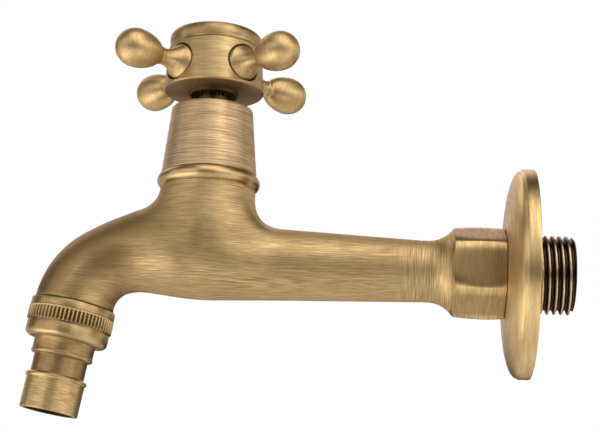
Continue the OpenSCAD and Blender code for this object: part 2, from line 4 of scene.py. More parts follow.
import bmesh
import bpy
import numpy as np
from bpy.props import FloatProperty, FloatVectorProperty, IntProperty, PointerProperty
from mathutils import Matrix, Vector


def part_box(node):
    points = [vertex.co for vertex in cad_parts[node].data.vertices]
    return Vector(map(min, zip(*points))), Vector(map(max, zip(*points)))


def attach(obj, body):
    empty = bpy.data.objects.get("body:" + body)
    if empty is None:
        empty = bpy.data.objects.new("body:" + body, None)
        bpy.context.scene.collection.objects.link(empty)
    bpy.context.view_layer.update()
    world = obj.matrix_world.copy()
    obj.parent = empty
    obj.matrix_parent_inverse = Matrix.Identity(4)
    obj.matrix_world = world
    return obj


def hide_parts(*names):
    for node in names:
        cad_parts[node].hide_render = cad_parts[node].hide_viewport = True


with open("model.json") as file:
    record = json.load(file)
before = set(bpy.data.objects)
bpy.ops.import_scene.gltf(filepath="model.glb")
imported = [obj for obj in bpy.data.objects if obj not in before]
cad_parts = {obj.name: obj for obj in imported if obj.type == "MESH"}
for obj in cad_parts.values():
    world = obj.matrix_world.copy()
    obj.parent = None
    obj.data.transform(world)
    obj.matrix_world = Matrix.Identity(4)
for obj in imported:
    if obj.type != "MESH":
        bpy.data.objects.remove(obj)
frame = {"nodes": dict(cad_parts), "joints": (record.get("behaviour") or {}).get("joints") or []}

bl_info = {
    "name": "Brass bib tap",
    "version": (1, 0, 0),
    "blender": (4, 5, 0),
    "location": "View3D > Sidebar > Tap",
    "description": "Dresses a wall-mounted bib tap in antique brushed brass",
    "category": "Object",
}

MM = 0.001
MICRON = 1e-6
FULL_TURN = 2 * math.pi
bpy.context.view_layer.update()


# Places and sizes that the frame gives, in millimetres


def span(node):
    """Lowest and highest corner of a CAD node, in millimetres."""
    low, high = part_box(node)
    return np.array(low) / MM, np.array(high) / MM


BONNET_LOW, BONNET_HIGH = span("bonnet")
BEAD_LOW, BEAD_HIGH = span("bead_ring")
FLANGE_LOW, FLANGE_HIGH = span("wall_flange")
BODY_LOW, BODY_HIGH = span("body")
HUB_LOW, HUB_HIGH = span("hub_shell")
CAP_LOW, CAP_HIGH = span("hub_cap")
NUT_JOINT = next(joint for joint in frame["joints"] if joint["name"] == "nut_turn")

NECK_X = (BONNET_LOW[0] + BONNET_HIGH[0]) / 2
NECK_R = 12.9
NECK_BORE_R = 10.48
NECK_TOP = BEAD_LOW[2]
OUTLET_DOWN = Vector(NUT_JOINT["axis"]).normalized()
OUTLET_TILT = math.atan2(-OUTLET_DOWN.x, -OUTLET_DOWN.z)
# The joint's point lies on the outlet's axis, this far below the spout's shoulder
JOINT_BELOW_SHOULDER = 5.3
OUTLET = Vector(NUT_JOINT["pos_m"]) / MM - OUTLET_DOWN * JOINT_BELOW_SHOULDER


def along(axis, spot):
    """A matrix, in millimetres, that lays local Z along an axis at a spot."""
    turn = Vector(axis).to_track_quat("Z", "Y").to_matrix().to_4x4()
    return Matrix.Translation(Vector(spot)) @ turn


def tilted_outlet(turn):
    """A matrix, in millimetres, at the outlet, turned round Y."""
    return Matrix.Translation(OUTLET) @ Matrix.Rotation(turn, 4, "Y")


ON_NECK = Matrix.Translation(Vector((NECK_X, 0, 0)))
FROM_WALL = along((-1, 0, 0), (0, 0, 0))
TO_WALL = along((1, 0, 0), (0, 0, 0))
ON_OUTLET = tilted_outlet(OUTLET_TILT)
DOWN_OUTLET = tilted_outlet(OUTLET_TILT + math.pi)


# Meshes: grids of points in local millimetres, welded where they share points

# Grid points that agree to this many decimals of a millimetre are one vertex
WELD_DECIMALS = 4
# Profile points closer to the axis than this lie on it
ON_AXIS = 1e-4
# Corners of a profile: least turn that is rounded, share of a side that it may take, degrees in a step
LEAST_TURN = 0.02
SIDE_SHARE = 0.48
STEP_DEGREES = 15
SHARP_ANGLE = math.radians(50)


def metres(place):
    """A placing matrix in metres, from one in millimetres."""
    return Matrix.Translation(place.translation * MM) @ place.to_3x3().to_4x4()


def linked(name, data):
    """A new object in the scene."""
    made = bpy.data.objects.new(name, data)
    bpy.context.scene.collection.objects.link(made)
    return made


def new_piece(name, verts, faces, place=None):
    """A mesh object of vertices in local millimetres, placed by a matrix in millimetres."""
    mesh = bpy.data.meshes.new(name)
    mesh.from_pydata([tuple(v) for v in np.asarray(verts) * MM], [], faces)
    mesh.validate()
    mesh.shade_smooth()
    piece = linked(name, mesh)
    if place is not None:
        piece.matrix_world = metres(place)
    return piece


def facing_out(piece):
    """Turns a closed piece's faces outward."""
    mesh = bmesh.new()
    mesh.from_mesh(piece.data)
    bmesh.ops.recalc_face_normals(mesh, faces=mesh.faces)
    mesh.to_mesh(piece.data)
    mesh.free()


def cells_of(ids):
    """The faces between the rows and columns of a grid of vertex numbers."""
    quads = np.stack([ids[:-1, :-1], ids[:-1, 1:], ids[1:, 1:], ids[1:, :-1]], -1)
    faces = [tuple(dict.fromkeys(quad)) for quad in quads.reshape(-1, 4).tolist()]
    return [face for face in faces if len(face) > 2]


def welded(name, grids, place=None):
    """One piece of several grids of points with normals, joined where they share points."""
    spots, tilts = (np.concatenate([part.reshape(-1, 3) for part in parts]) for parts in zip(*grids))
    _, first, ids = np.unique(
        np.round(spots, WELD_DECIMALS) + 0.0, axis=0, return_index=True, return_inverse=True)
    ids, faces = ids.ravel(), []
    for grid, _ in grids:
        mine, ids = np.split(ids, [grid.size // 3])
        faces += cells_of(mine.reshape(grid.shape[:2]))
    piece = new_piece(name, spots[first], faces, place)
    facing_out(piece)
    piece.data.normals_split_custom_set_from_vertices([tuple(tilt) for tilt in tilts[first]])
    return piece


def grid_piece(name, rows, place):
    """A piece of rows of points, each closed round, smooth where it is smooth."""
    surface = np.array(rows)
    index = np.arange(surface.size // 3).reshape(surface.shape[:2])
    faces = cells_of(np.hstack([index, index[:, :1]]))
    piece = new_piece(name, surface.reshape(-1, 3), faces, place)
    piece.data.set_sharp_from_angle(angle=SHARP_ANGLE)
    return piece


# Turned pieces: a profile of (radius, height, corner rounding) is swept round local Z


def ring(radius, height, angles):
    """Points or normals round Z, one at each angle."""
    return np.stack([radius * np.cos(angles), radius * np.sin(angles), height + 0 * angles], -1)


def swept(path, angles):
    """Points and normals of a path of (radius, height, normal outwards, normal upwards)."""
    r, z, nr, nz = (column[:, None] for column in path.T)
    return ring(r, z, angles), ring(nr, nz, angles)


def arc(cx, cy, radius, start, end, steps):
    """Points of an arc as smooth profile corners, angles in degrees."""
    angles = np.radians(np.linspace(start, end, steps + 1))
    return [(cx + radius * math.cos(a), cy + radius * math.sin(a), 0.0) for a in angles]


def turned_by(vector, angle):
    """A flat vector turned by an angle."""
    c, s = math.cos(angle), math.sin(angle)
    return c * vector[0] - s * vector[1], s * vector[0] + c * vector[1]


def soften(corners, closed):
    """Rounds the corners of a profile and gives its points with their outward normals."""
    corners = np.array(corners, float)
    pts, radii, count = corners[:, :2], corners[:, 2], len(corners)
    ahead = np.roll(pts, -1, 0)
    side = 1.0 if np.sum(pts[:, 0] * ahead[:, 1] - ahead[:, 0] * pts[:, 1]) > 0 else -1.0
    out = []
    for i, here in enumerate(pts):
        before = pts[1] - here if i == 0 and not closed else here - pts[i - 1]
        after = before if i == count - 1 and not closed else pts[(i + 1) % count] - here
        len_b, len_a = np.linalg.norm(before), np.linalg.norm(after)
        before, after = before / len_b, after / len_a
        n_before, n_after = (side * np.array([v[1], -v[0]]) for v in (before, after))
        angle = math.acos(max(-1.0, min(1.0, float(before @ after))))
        if radii[i] <= 0 or angle < LEAST_TURN:
            n = n_before + n_after
            out.append((*here, *(n / np.linalg.norm(n))))
            continue
        reach = min(radii[i] * math.tan(angle / 2), SIDE_SHARE * len_b, SIDE_SHARE * len_a)
        bend = 1.0 if before[0] * after[1] - before[1] * after[0] > 0 else -1.0
        to_centre = bend * reach / math.tan(angle / 2) * np.array([-before[1], before[0]])
        centre = here - before * reach + to_centre
        for turn in np.linspace(0, bend * angle, max(2, int(math.degrees(angle) / STEP_DEGREES)) + 1):
            out.append((*(centre + turned_by(-to_centre, turn)), *turned_by(n_before, turn)))
    return np.array(out)


def turned(name, corners, place, segments=160, closed=True):
    """A piece turned from a profile, with exact normals. Open profiles start and end on the axis."""
    path = soften(corners, closed)
    for point in path:
        if point[0] < ON_AXIS:
            point[2:] = 0, math.copysign(1, point[3])
    if closed:
        path = np.vstack([path, path[:1]])
    return welded(name, [swept(path, np.linspace(0, FULL_TURN, segments + 1))], place)


# Nodes


class Nodes:
    """Adds nodes to a tree. What feeds an input is another node's output or a plain value."""

    def __init__(self, tree):
        self.tree = tree

    def feed(self, socket, value):
        """Links an output to a socket, or sets the socket to a number, vector or colour."""
        if isinstance(value, bpy.types.NodeSocket):
            self.tree.links.new(value, socket)
        else:
            socket.default_value = (*value, 1.0) if socket.type == "RGBA" else value

    def add(self, kind, *first, **values):
        """A node with its first inputs fed in order, and its named inputs and properties."""
        made = self.tree.nodes.new("ShaderNode" + kind)
        for key, value in values.items():
            if hasattr(made, key):
                setattr(made, key, value)
            else:
                self.feed(made.inputs[key.replace("_", " ")], value)
        for socket, value in zip(made.inputs, first):
            self.feed(socket, value)
        return made

    def math(self, operation, *values):
        """The result of a Math node."""
        return self.add("Math", *values, operation=operation).outputs[0]

    def plus(self, first, second):
        return self.math("ADD", first, second)

    def times(self, first, second):
        return self.math("MULTIPLY", first, second)

    def over(self, first, second):
        return self.math("DIVIDE", first, second)

    def parts(self, vector):
        """The X, Y and Z of a vector."""
        return self.add("SeparateXYZ", vector).outputs

    def vector(self, x, y, z):
        """A vector of three numbers."""
        return self.add("CombineXYZ", x, y, z).outputs[0]

    def radius(self, x, y):
        """The distance from the middle of two numbers."""
        return self.math("SQRT", self.plus(self.times(x, x), self.times(y, y)))

    def noise(self, vector, **values):
        """The level of a noise texture."""
        return self.add("TexNoise", Vector=vector, **values).outputs["Fac"]

    def spread(self, value, low, high):
        """Maps a mask from 0..1 to low..high."""
        return self.add("MapRange", value, To_Min=low, To_Max=high).outputs["Result"]

    def step(self, value, low, high, at_low=0.0, at_high=1.0):
        """A soft step from one level to another between two values."""
        return self.add(
            "MapRange", value, interpolation_type="SMOOTHSTEP", From_Min=low, From_Max=high,
            To_Min=at_low, To_Max=at_high).outputs["Result"]

    def mix(self, share, first, second, kind="RGBA"):
        """What lies between two colours or, as FLOAT, between two numbers."""
        made = self.add("Mix", share, data_type=kind)
        slots, result = ((6, 7), 2) if kind == "RGBA" else ((2, 3), 0)
        for slot, value in zip(slots, (first, second)):
            self.feed(made.inputs[slot], value)
        return made.outputs[result]


def new_group(name, inputs, outputs):
    """Nodes, inputs and outputs of a new group; an input holds its default or its kind."""
    tree = bpy.data.node_groups.new(name, "ShaderNodeTree")
    for label, value in inputs.items():
        kind = value if isinstance(value, str) else "Float"
        socket = tree.interface.new_socket(label, in_out="INPUT", socket_type="NodeSocket" + kind)
        if kind == "Float":
            socket.default_value = value
    for label, kind in outputs.items():
        tree.interface.new_socket(label, in_out="OUTPUT", socket_type="NodeSocket" + kind)
    start, end = tree.nodes.new("NodeGroupInput"), tree.nodes.new("NodeGroupOutput")
    return Nodes(tree), start.outputs, end.inputs


GRAIN = {"Fine": "Float", "Wide": "Float"}
MASK = {"Mask": "Float"}
# Masks lie between 0 and 1 and swing round this level
MIDWAY = 0.5


def turning_marks():
    """Fine rings round local Z, as a lathe and an abrasive belt leave them."""
    n, given, made = new_group(
        "turning marks", {"Vector": "Vector", "Pitch": 0.0005, "Drift": 2.5, "Level Faces": 1.0}, GRAIN)
    x, y, z = n.parts(given["Vector"])
    radius = n.radius(x, y)
    level = n.times(radius, given["Level Faces"])
    safe = n.math("MAXIMUM", radius, 1e-5)
    round_x, round_y = (n.times(n.over(side, safe), given["Drift"]) for side in (x, y))
    for output, coarser in (("Fine", 1.0), ("Wide", 4.0)):
        pitch = n.times(given["Pitch"], coarser)
        where = n.vector(n.over(z, pitch), n.over(level, pitch), round_x)
        lines = n.noise(
            where, noise_dimensions="4D", W=round_y, Scale=1.0, Detail=3.0, Roughness=0.6)
        n.feed(made[output], lines)


# Over this length, in metres, the brushed arm passes into its turned end
TURNED_FADE = 0.008


def brush_lines():
    """Long wavy lines along local X, as a hand brush leaves them, and rings on the turned end."""
    n, given, made = new_group(
        "brush lines",
        {"Vector": "Vector", "Facing": "Vector", "Width": 0.0005, "Length": 0.010, "Waver": 0.002,
         "Turned From": -0.039}, GRAIN)
    sway = n.noise(given["Vector"], Scale=60.0, Detail=1.0)
    shift = n.times(n.math("SUBTRACT", sway, MIDWAY), given["Waver"])
    x, y, z = n.parts(given["Vector"])
    level = n.step(n.math("ABSOLUTE", n.parts(given["Facing"])["Z"]), 0.70, 0.92)
    turned_end = n.step(x, given["Turned From"], n.plus(given["Turned From"], TURNED_FADE))
    for output, coarser in (("Fine", 1.0), ("Wide", 2.6)):
        width = n.times(given["Width"], coarser)
        length = n.times(given["Length"], coarser * 0.7)
        upright, flat, rings = (
            n.noise(
                n.vector(
                    n.over(first, length), n.over(second, length),
                    n.over(n.plus(across, shift), width)),
                Scale=1.0, Detail=2.5, Roughness=0.65)
            for across, first, second in ((z, x, y), (y, x, z), (x, y, z))
        )
        lines = n.mix(turned_end, n.mix(level, upright, flat, "FLOAT"), rings, "FLOAT")
        n.feed(made[output], lines)


def patina_tones():
    """Darker and lighter metal: clouds with the grain on top."""
    n, given, made = new_group(
        "patina",
        {"Vector": "Vector", "Fine": MIDWAY, "Wide": MIDWAY, "Light": "Color", "Dark": "Color",
         "Cloud Size": 0.012, "Fine Contrast": 1.0, "Wide Contrast": 1.0, "Cloud Contrast": 1.0},
        {"Color": "Color", "Mask": "Float"})
    scale = n.over(1.0, given["Cloud Size"])
    cloud = n.noise(given["Vector"], Scale=scale, Detail=4.0, Roughness=0.55)
    level = MIDWAY
    for name, mask in (("Cloud", cloud), ("Fine", given["Fine"]), ("Wide", given["Wide"])):
        swing = n.times(n.math("SUBTRACT", mask, MIDWAY), given[name + " Contrast"])
        level = n.plus(swing, level)
    level.node.use_clamp = True
    n.feed(made["Color"], n.mix(level, given["Dark"], given["Light"]))
    n.feed(made["Mask"], level)


# Painted shade: darker spots on the casting that dim its highlights and shade the spout's bend: middle
# along X and Z, half sizes in millimetres, and strength
PAINTED_SHADE_SPOTS = {
    "neck": ((-88.6, 5.5), (2.4, 6.0), 0.45),
    "shoulder": ((-99.0, 7.5), (11.0, 6.0), 0.35),
    "corner": ((-76.5, 6.5), (8.0, 5.0), 0.4),
    "spout": ((-112.5, -1.0), (11.0, 8.5), 0.85),
    "bend": ((-108.0, -10.3), (8.0, 4.5), 1.0),
    "mouth": ((-123.0, -10.0), (7.0, 7.0), 0.4),
}


def painted_shade_spots():
    """Painted shade: soft darker spots on the casting."""
    n, given, made = new_group("painted_shade_spots", {"Vector": "Vector"}, MASK)
    x, _, z = n.parts(given["Vector"])
    total = 0.0
    for (middle_x, middle_z), (half_x, half_z), strength in PAINTED_SHADE_SPOTS.values():
        off_x = n.over(n.plus(x, -middle_x * MM), half_x * MM)
        off_z = n.over(n.plus(z, -middle_z * MM), half_z * MM)
        total = n.plus(n.step(n.radius(off_x, off_z), 0.15, 1.1, strength, 0.0), total)
    n.feed(made["Mask"], total)


# The outer side leans this much towards -X and +Z, and starts this far from the neck's axis
OUTER_LEAN = (-0.8, 0.6)
OUTER_START, OUTER_FULL = 8.0, 20.0


def outer_side():
    """A mask of the spout's outer side, by the way it faces, up to a soft edge: there the grain is
    rubbed smooth along the bend, and the colour is darkened as painted shade.
    """
    n, given, made = new_group(
        "outer side", {"Vector": "Vector", "Facing": "Vector", "Edge": 0.13, "Softness": 0.09}, MASK)
    facing = n.parts(given["Facing"])
    lean = n.plus(n.times(facing["X"], OUTER_LEAN[0]), n.times(facing["Z"], OUTER_LEAN[1]))
    edge = n.step(lean, given["Edge"], n.plus(given["Edge"], given["Softness"]))
    past_neck = n.step(
        n.parts(given["Vector"])["X"], (NECK_X - OUTER_START) * MM, (NECK_X - OUTER_FULL) * MM)
    n.feed(made["Mask"], n.times(edge, past_neck))


def reach():
    """How far a point lies between two depths, where depth is its radius from Z or its height; its mask
    places painted shade, and patina with shade in thread roots.
    """
    n, given, made = new_group(
        "reach",
        {"Vector": "Vector", "Radius Share": 1.0, "Height Share": 0.0, "From": 0.0, "To": 1.0,
         "Least": 0.0}, MASK)
    x, y, z = n.parts(given["Vector"])
    depth = n.plus(n.times(n.radius(x, y), given["Radius Share"]), n.times(z, given["Height Share"]))
    n.feed(made["Mask"], n.step(depth, given["From"], given["To"], given["Least"]))


GROUPS = {
    "turning marks": turning_marks, "brush lines": brush_lines, "patina": patina_tones,
    "painted_shade_spots": painted_shade_spots, "outer side": outer_side, "reach": reach,
}


def placed(n, name, **inputs):
    """Outputs of one of this object's node groups, which is made on first use."""
    if name not in bpy.data.node_groups:
        GROUPS[name]()
    made = n.tree.nodes.new("ShaderNodeGroup")
    made.node_tree = bpy.data.node_groups[name]
    for key, value in inputs.items():
        n.feed(made.inputs[key.replace("_", " ")], value)
    return made.outputs


def new_material(name):
    """A material with the inputs of its Principled shader."""
    material = bpy.data.materials.new(name)
    material.use_nodes = True
    tree = material.node_tree
    return material, Nodes(tree), tree.nodes["Principled BSDF"].inputs


def shade(n, shader, **values):
    """Feeds a shader's inputs."""
    for key, value in values.items():
        n.feed(shader[key.replace("_", " ")], value)


def place_coordinates(n, place=None):
    """Object coordinates, moved into a piece's own axes where the piece has none of its own."""
    coords = n.add("TexCoord").outputs["Object"]
    if place is None:
        return coords
    inverse = metres(place).inverted()
    return n.add(
        "Mapping", coords, Location=inverse.translation, Rotation=inverse.to_euler(),
        vector_type="POINT").outputs["Vector"]


# Roughness of the lightest and the darkest metal, beside a finish's own
SMOOTHER, ROUGHER = -0.08, 0.10
# Shares of the fine and the wide grain in the relief
FINE_RELIEF, WIDE_RELIEF = 0.6, 0.4
# How much of the fine grain is gone from the spout's outer side, and how much painted shade darkens its
# colour there
OUTER_EVENNESS, OUTER_PAINTED_SHADE = 0.8, 0.5
# Tone of the dark colour that the painted shade of the spots and of the spout's outer side lays on the
# casting
PAINTED_SHADE_TONE = 0.8
QUARTER = 0.25
# Mottling of a plain finish: tone of its darker spots, swing of its roughness, strength of its relief
MOTTLE_TONE, MOTTLE_SWING, MOTTLE_RELIEF = 0.8, 0.06, 0.6


def brass(name, grain, roughness, relief, tone=1.0, swing=(1.0, 0.6, 0.5), stretch=0.7, place=None,
          painted_shade_and_patina=None, metal=None, **sizes):
    """Antique brass: a grain, patina clouds, and roughness and relief from the grain.

    relief is in micrometres. tone lightens or darkens the piece's metal, or metal gives its two
    colours. swing holds the contrasts of the fine grain, the wide grain and the clouds. stretch is how
    far the grain draws a highlight out across itself. Painted shade and patina come as a colour and the
    settings of the reach group: painted shade in hollows, on undersides and on the collar's flats, and
    patina with shade in thread roots. On brushed brass, painted shade also darkens spots and the
    spout's outer side. sizes are settings of the grain.
    """
    light, dark = metal or (colours().light, colours().dark)
    material, n, shader = new_material(name)
    where = place_coordinates(n, place)
    brushed = grain == "brush lines"
    facing = {"Facing": n.add("TexCoord").outputs["Normal"]} if brushed else {}
    marks = placed(n, grain, Vector=where, **facing, **sizes)
    fine, wide = marks["Fine"], marks["Wide"]
    if brushed:
        # The outer side's mask evens the grain, and below it also lays painted shade on the colour
        side = placed(n, "outer side", Vector=where, **facing)["Mask"]
        fine = n.mix(n.times(side, OUTER_EVENNESS), fine, MIDWAY, "FLOAT")
    patina = placed(
        n, "patina", Vector=where, Fine=fine, Wide=wide, Fine_Contrast=swing[0], Wide_Contrast=swing[1],
        Cloud_Contrast=swing[2], Light=[c * tone for c in light], Dark=[c * tone for c in dark])
    colour = patina["Color"]
    if brushed:
        # Painted shade on the casting: darker spots, and the spout's outer side
        spots = placed(n, "painted_shade_spots", Vector=where)["Mask"]
        painted_shade = n.math("MAXIMUM", n.times(side, OUTER_PAINTED_SHADE), spots)
        colour = n.mix(painted_shade, colour, [c * PAINTED_SHADE_TONE for c in dark])
    # Painted shade in hollows, on undersides and on flats, and patina with shade in thread roots, where
    # the reach mask is low
    if painted_shade_and_patina:
        colour = n.mix(placed(n, "reach", Vector=where, **painted_shade_and_patina[1])["Mask"], painted_shade_and_patina[0], colour)
    grains = n.plus(n.times(fine, FINE_RELIEF), n.times(wide, WIDE_RELIEF))
    shade(
        n, shader, Base_Color=colour, Metallic=1.0, Specular_Tint=colours().edge,
        Roughness=n.spread(patina["Mask"], roughness + ROUGHER, roughness + SMOOTHER),
        Normal=n.add("Bump", Strength=1.0, Distance=relief * MICRON, Height=grains).outputs["Normal"],
        Tangent=n.add("Tangent", direction_type="RADIAL", axis="X" if brushed else "Z").outputs[0],
        Anisotropic=stretch, Anisotropic_Rotation=0.0 if brushed else QUARTER)
    return material


def plain(name, colour, roughness, metallic, relief, grain):
    """An inner part's finish: one colour with a faint mottling and relief, sizes in micrometres."""
    material, n, shader = new_material(name)
    noise = n.noise(place_coordinates(n), Scale=1.0 / (grain * MICRON), Detail=3.0)
    bump = n.add("Bump", Strength=MOTTLE_RELIEF, Distance=relief * MICRON, Height=noise)
    shade(
        n, shader, Base_Color=n.mix(noise, [c * MOTTLE_TONE for c in colour], colour),
        Metallic=metallic, Normal=bump.outputs["Normal"],
        Roughness=n.spread(noise, roughness - MOTTLE_SWING, roughness + MOTTLE_SWING))
    return material


def dress(piece, material, body=None, stands_for=()):
    """Gives a piece its material and body, and hides the CAD nodes it stands for."""
    piece.data.materials.clear()
    piece.data.materials.append(material)
    if body:
        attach(piece, body)
    if stands_for:
        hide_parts(*stands_for)


# Settings that a user would change


def length_setting(name, description, millimetres):
    return FloatProperty(name=name, description=description, default=millimetres * MM, unit="LENGTH")


def colour_setting(name, description, *default):
    return FloatVectorProperty(name=name, description=description, default=default, subtype="COLOR")


def angle_setting(name, description, degrees):
    return FloatProperty(
        name=name, description=description, default=math.radians(degrees), subtype="ANGLE")


class TapSizes(bpy.types.PropertyGroup):
    """Sizes of the forms that this script models itself."""

    wall_fillet: length_setting(
        "Wall-side fillet", "Width of the soft fillet between the arm and the neck", 9.0)
    spout_fillet: length_setting(
        "Spout-side fillet", "Width of the soft fillet between the spout and the neck", 7.0)
    cell: length_setting("Mesh cell", "Cell size of the casting's mesh", 0.8)
    thread_pitch: length_setting("Thread pitch", "Pitch of the half-inch pipe threads", 1.814)
    thread_depth: length_setting("Thread depth", "Depth of the pipe threads", 1.162)
    flutes: IntProperty(
        name="Flutes", description="Flutes in the nut's knurled band", default=64, min=12)
    flute_depth: length_setting("Flute depth", "Depth of the flutes in the nut's band", 0.46)


class TapColours(bpy.types.PropertyGroup):
    """Colours of the finishes, as linear values."""

    light: colour_setting("Brass", "Brushed antique brass", 0.585, 0.425, 0.200)
    dark: colour_setting("Patina", "Darkened brass in the grain", 0.262, 0.155, 0.064)
    edge: colour_setting(
        "Grazing tint", "Tint of the brass where it is seen at a shallow angle", 0.72, 0.64, 0.66)
    # Patina and painted shade, near black, in the roots of the threads
    painted_shade_and_patina: colour_setting(
        "Patina and painted shade", "Patina and painted shade in the roots of the threads", 0.050, 0.030, 0.016)
    raw: colour_setting(
        "Machined brass", "Uncoated brass of the threads and the inner parts", 0.42, 0.27, 0.10)
    steel: colour_setting("Steel", "Circlip and screw", 0.55, 0.56, 0.58)
    ceramic: colour_setting("Ceramic", "Valve discs", 0.82, 0.79, 0.72)
    rubber: colour_setting("Rubber", "Rings and washers", 0.02, 0.02, 0.022)
    plastic: colour_setting("Plastic", "Thrust washer", 0.32, 0.32, 0.31)
    floor: colour_setting("Floor", "Pale floor", 0.82, 0.82, 0.83)


class TapStage(bpy.types.PropertyGroup):
    """Camera and light."""

    camera_place: FloatVectorProperty(
        name="Camera", description="Where the camera stands", default=(-0.04043, -0.40316, -0.08403),
        subtype="TRANSLATION", unit="LENGTH")
    camera_yaw: angle_setting("Yaw", "Turn to the left from +Y", 3.10)
    camera_pitch: angle_setting("Pitch", "Tilt upwards", 13.69)
    camera_roll: angle_setting("Roll", "Roll about the view", 2.34)
    lens: FloatProperty(
        name="Lens", description="Focal length in millimetres on a 36 mm sensor", default=92.06)
    light_level: FloatProperty(name="Light", description="Strength of the lamps", default=1.0)
    floor_drop: length_setting("Floor", "Depth of the floor below the tap", 500)


def sizes():
    return bpy.context.scene.tap_sizes


def colours():
    return bpy.context.scene.tap_colours


# The casting: arm, neck and spout as one blended surface

# How much wider the fillets are at the neck's front and back than in the tap's middle plane,
# and the distances from that plane between which they widen
FRONT_SOFTENING = 0.9
FRONT_FROM, FRONT_TO = 3, 10
# How much wider they are where the surfaces meet at a shallow angle
SHALLOW_SOFTENING = 1.2
LEAST_FILLET = 0.02
# Slopes of a field are held above these, so that distances stay finite
LEAST_SLOPE, LEAST_JOINED_SLOPE = 0.5, 0.3
# The arm's line and radius, the flare to the collar, and the spout's line
ARM_END_R = 8.27
ARM_END_X = -29.0
ARM_SLOPE = 0.0354
ARM_LIFT = 0.0167
ARM_WIDENS_FROM, ARM_WIDENS_TO = 66.0, 84.0
FLARE_X = -27.5
FLARE_R = 8.2
FLARE_LIP_X = -20.6
ROOT_HALF_WIDTH = 12.85
ROOT_DEPTH = 9.5
SPOUT_LIFT = 4.12
SPOUT_RISE = 0.024
SPOUT_PULL = 19.4
SPOUT_TURN = 13.0
SPOUT_END_R = 10.6
# Half height and half width of the spout's section, at shares of the way along it
SPOUT_SHARES = (0.0, 0.12, 0.25, 0.4, 0.55, 0.7, 0.85, 1.0)
SPOUT_HIGH = (13.7, 13.13, 12.03, 10.45, 9.79, 10.08, 10.31, 10.6)
SPOUT_WIDE = (12.85, 12.55, 12.0, 11.4, 11.0, 10.75, 10.65, 10.6)
# Points tried along the spout's line, rounds that refine the nearest, and the largest share of the
# way along it, which lies past its end
SPOUT_TRIES, SPOUT_ROUNDS, SPOUT_PAST_END = 21, 4, 1.4
LEAST_GIVE = 50.0
ROW_SAMPLES, ROW_WINDOW = 201, 31
CUP_BOTTOM = 9.4
CUP_TOP = SPOUT_LIFT


def ramp(x, low, high):
    """Smooth step from 0 at low to 1 at high."""
    t = np.clip((x - low) / (high - low), 0, 1)
    return t * t * (3 - 2 * t)


def steepness(slope, least):
    """Length of a slope of three parts, held above a least value."""
    return np.maximum(np.sqrt(slope[0] ** 2 + slope[1] ** 2 + slope[2] ** 2), least)


def scaled(field, x, y, z, step=0.01):
    """A field's distance near its surface, and the direction in which it grows."""
    here = field(x, y, z)
    ahead = field(x + step, y, z), field(x, y + step, z), field(x, y, z + step)
    slope = [(value - here) / step for value in ahead]
    size = steepness(slope, LEAST_SLOPE)
    return here / size, [s / size for s in slope]


def soft_join(first, second, width):
    """Union of two scaled fields with a fillet as wide as the angle between them asks for."""
    (a, slope_a), (b, slope_b) = first, second
    lean = sum(m * n for m, n in zip(slope_a, slope_b))
    shallow = 1 + SHALLOW_SOFTENING * np.maximum(lean, 0) ** 2
    fillet = np.maximum(width * (1 - lean) * shallow, LEAST_FILLET)
    near = np.maximum(fillet - np.abs(a - b), 0) / fillet
    share = np.where(a < b, near / 2, 1 - near / 2)
    slope = [m + (n - m) * share for m, n in zip(slope_a, slope_b)]
    size = steepness(slope, LEAST_JOINED_SLOPE)
    return np.minimum(a, b) - near * near * fillet / 4, [m / size for m in slope]


def arm_middle(x):
    """Height of the arm's middle."""
    return ARM_LIFT * np.maximum(ARM_END_X - x, 0)


def arm_radius(x):
    """Radius of the arm: a slight taper, then the concave flare."""
    straight = ARM_END_R + ARM_SLOPE * np.maximum(ARM_END_X - x, 0)
    run = np.clip(x - FLARE_X, 0, FLARE_R * 0.98)
    return straight + FLARE_R - np.sqrt(FLARE_R**2 - run * run)


def spout_curve():
    """Corners of the spout's middle line, in the plane of X and Z, from the neck to the outlet."""
    down = np.array([OUTLET_DOWN.x, OUTLET_DOWN.z])
    end = np.array([OUTLET.x, OUTLET.z])
    root = np.array([NECK_X, SPOUT_LIFT])
    return root, root + SPOUT_PULL * np.array([-1, SPOUT_RISE]), end - down * SPOUT_TURN, end


def spout_spot(x, z):
    """Share of the way along the spout of the nearest point, and the distance to it."""
    a, b, c, d = spout_curve()

    def at(t):
        t = np.asarray(t)[..., None]
        inner = np.clip(t, 0, 1)
        u = 1 - inner
        place = u**3 * a + 3 * u * u * inner * b + 3 * u * inner**2 * c + inner**3 * d
        speed = 3 * u * u * (b - a) + 6 * u * inner * (c - b) + 3 * inner**2 * (d - c)
        bend = np.where(inner == t, 6 * u * (c - 2 * b + a) + 6 * inner * (d - 2 * c + b), 0)
        return place + (t - inner) * speed, speed, bend

    here = np.stack(np.broadcast_arrays(x, z), -1)
    best = np.full(here.shape[:-1], np.inf)
    share = np.zeros(best.shape)
    for t in np.linspace(0, 1, SPOUT_TRIES):
        off = ((here - at(t)[0]) ** 2).sum(-1)
        share = np.where(off < best, t, share)
        best = np.minimum(off, best)
    for _ in range(SPOUT_ROUNDS):
        place, speed, bend = at(share)
        gap = place - here
        pull = (gap * speed).sum(-1)
        give = (speed * speed).sum(-1) + (gap * bend).sum(-1)
        share = np.clip(share - pull / np.maximum(give, LEAST_GIVE), 0, SPOUT_PAST_END)
    return share, np.sqrt(((at(share)[0] - here) ** 2).sum(-1))


def smooth_row(t, values):
    """A smooth curve through a row of the spout's values."""
    fine = np.linspace(0, 1, ROW_SAMPLES)
    window = np.hanning(ROW_WINDOW)
    padded = np.pad(np.interp(fine, SPOUT_SHARES, values), ROW_WINDOW // 2, "edge")
    return np.interp(t, fine, np.convolve(padded, window / window.sum(), "valid"))


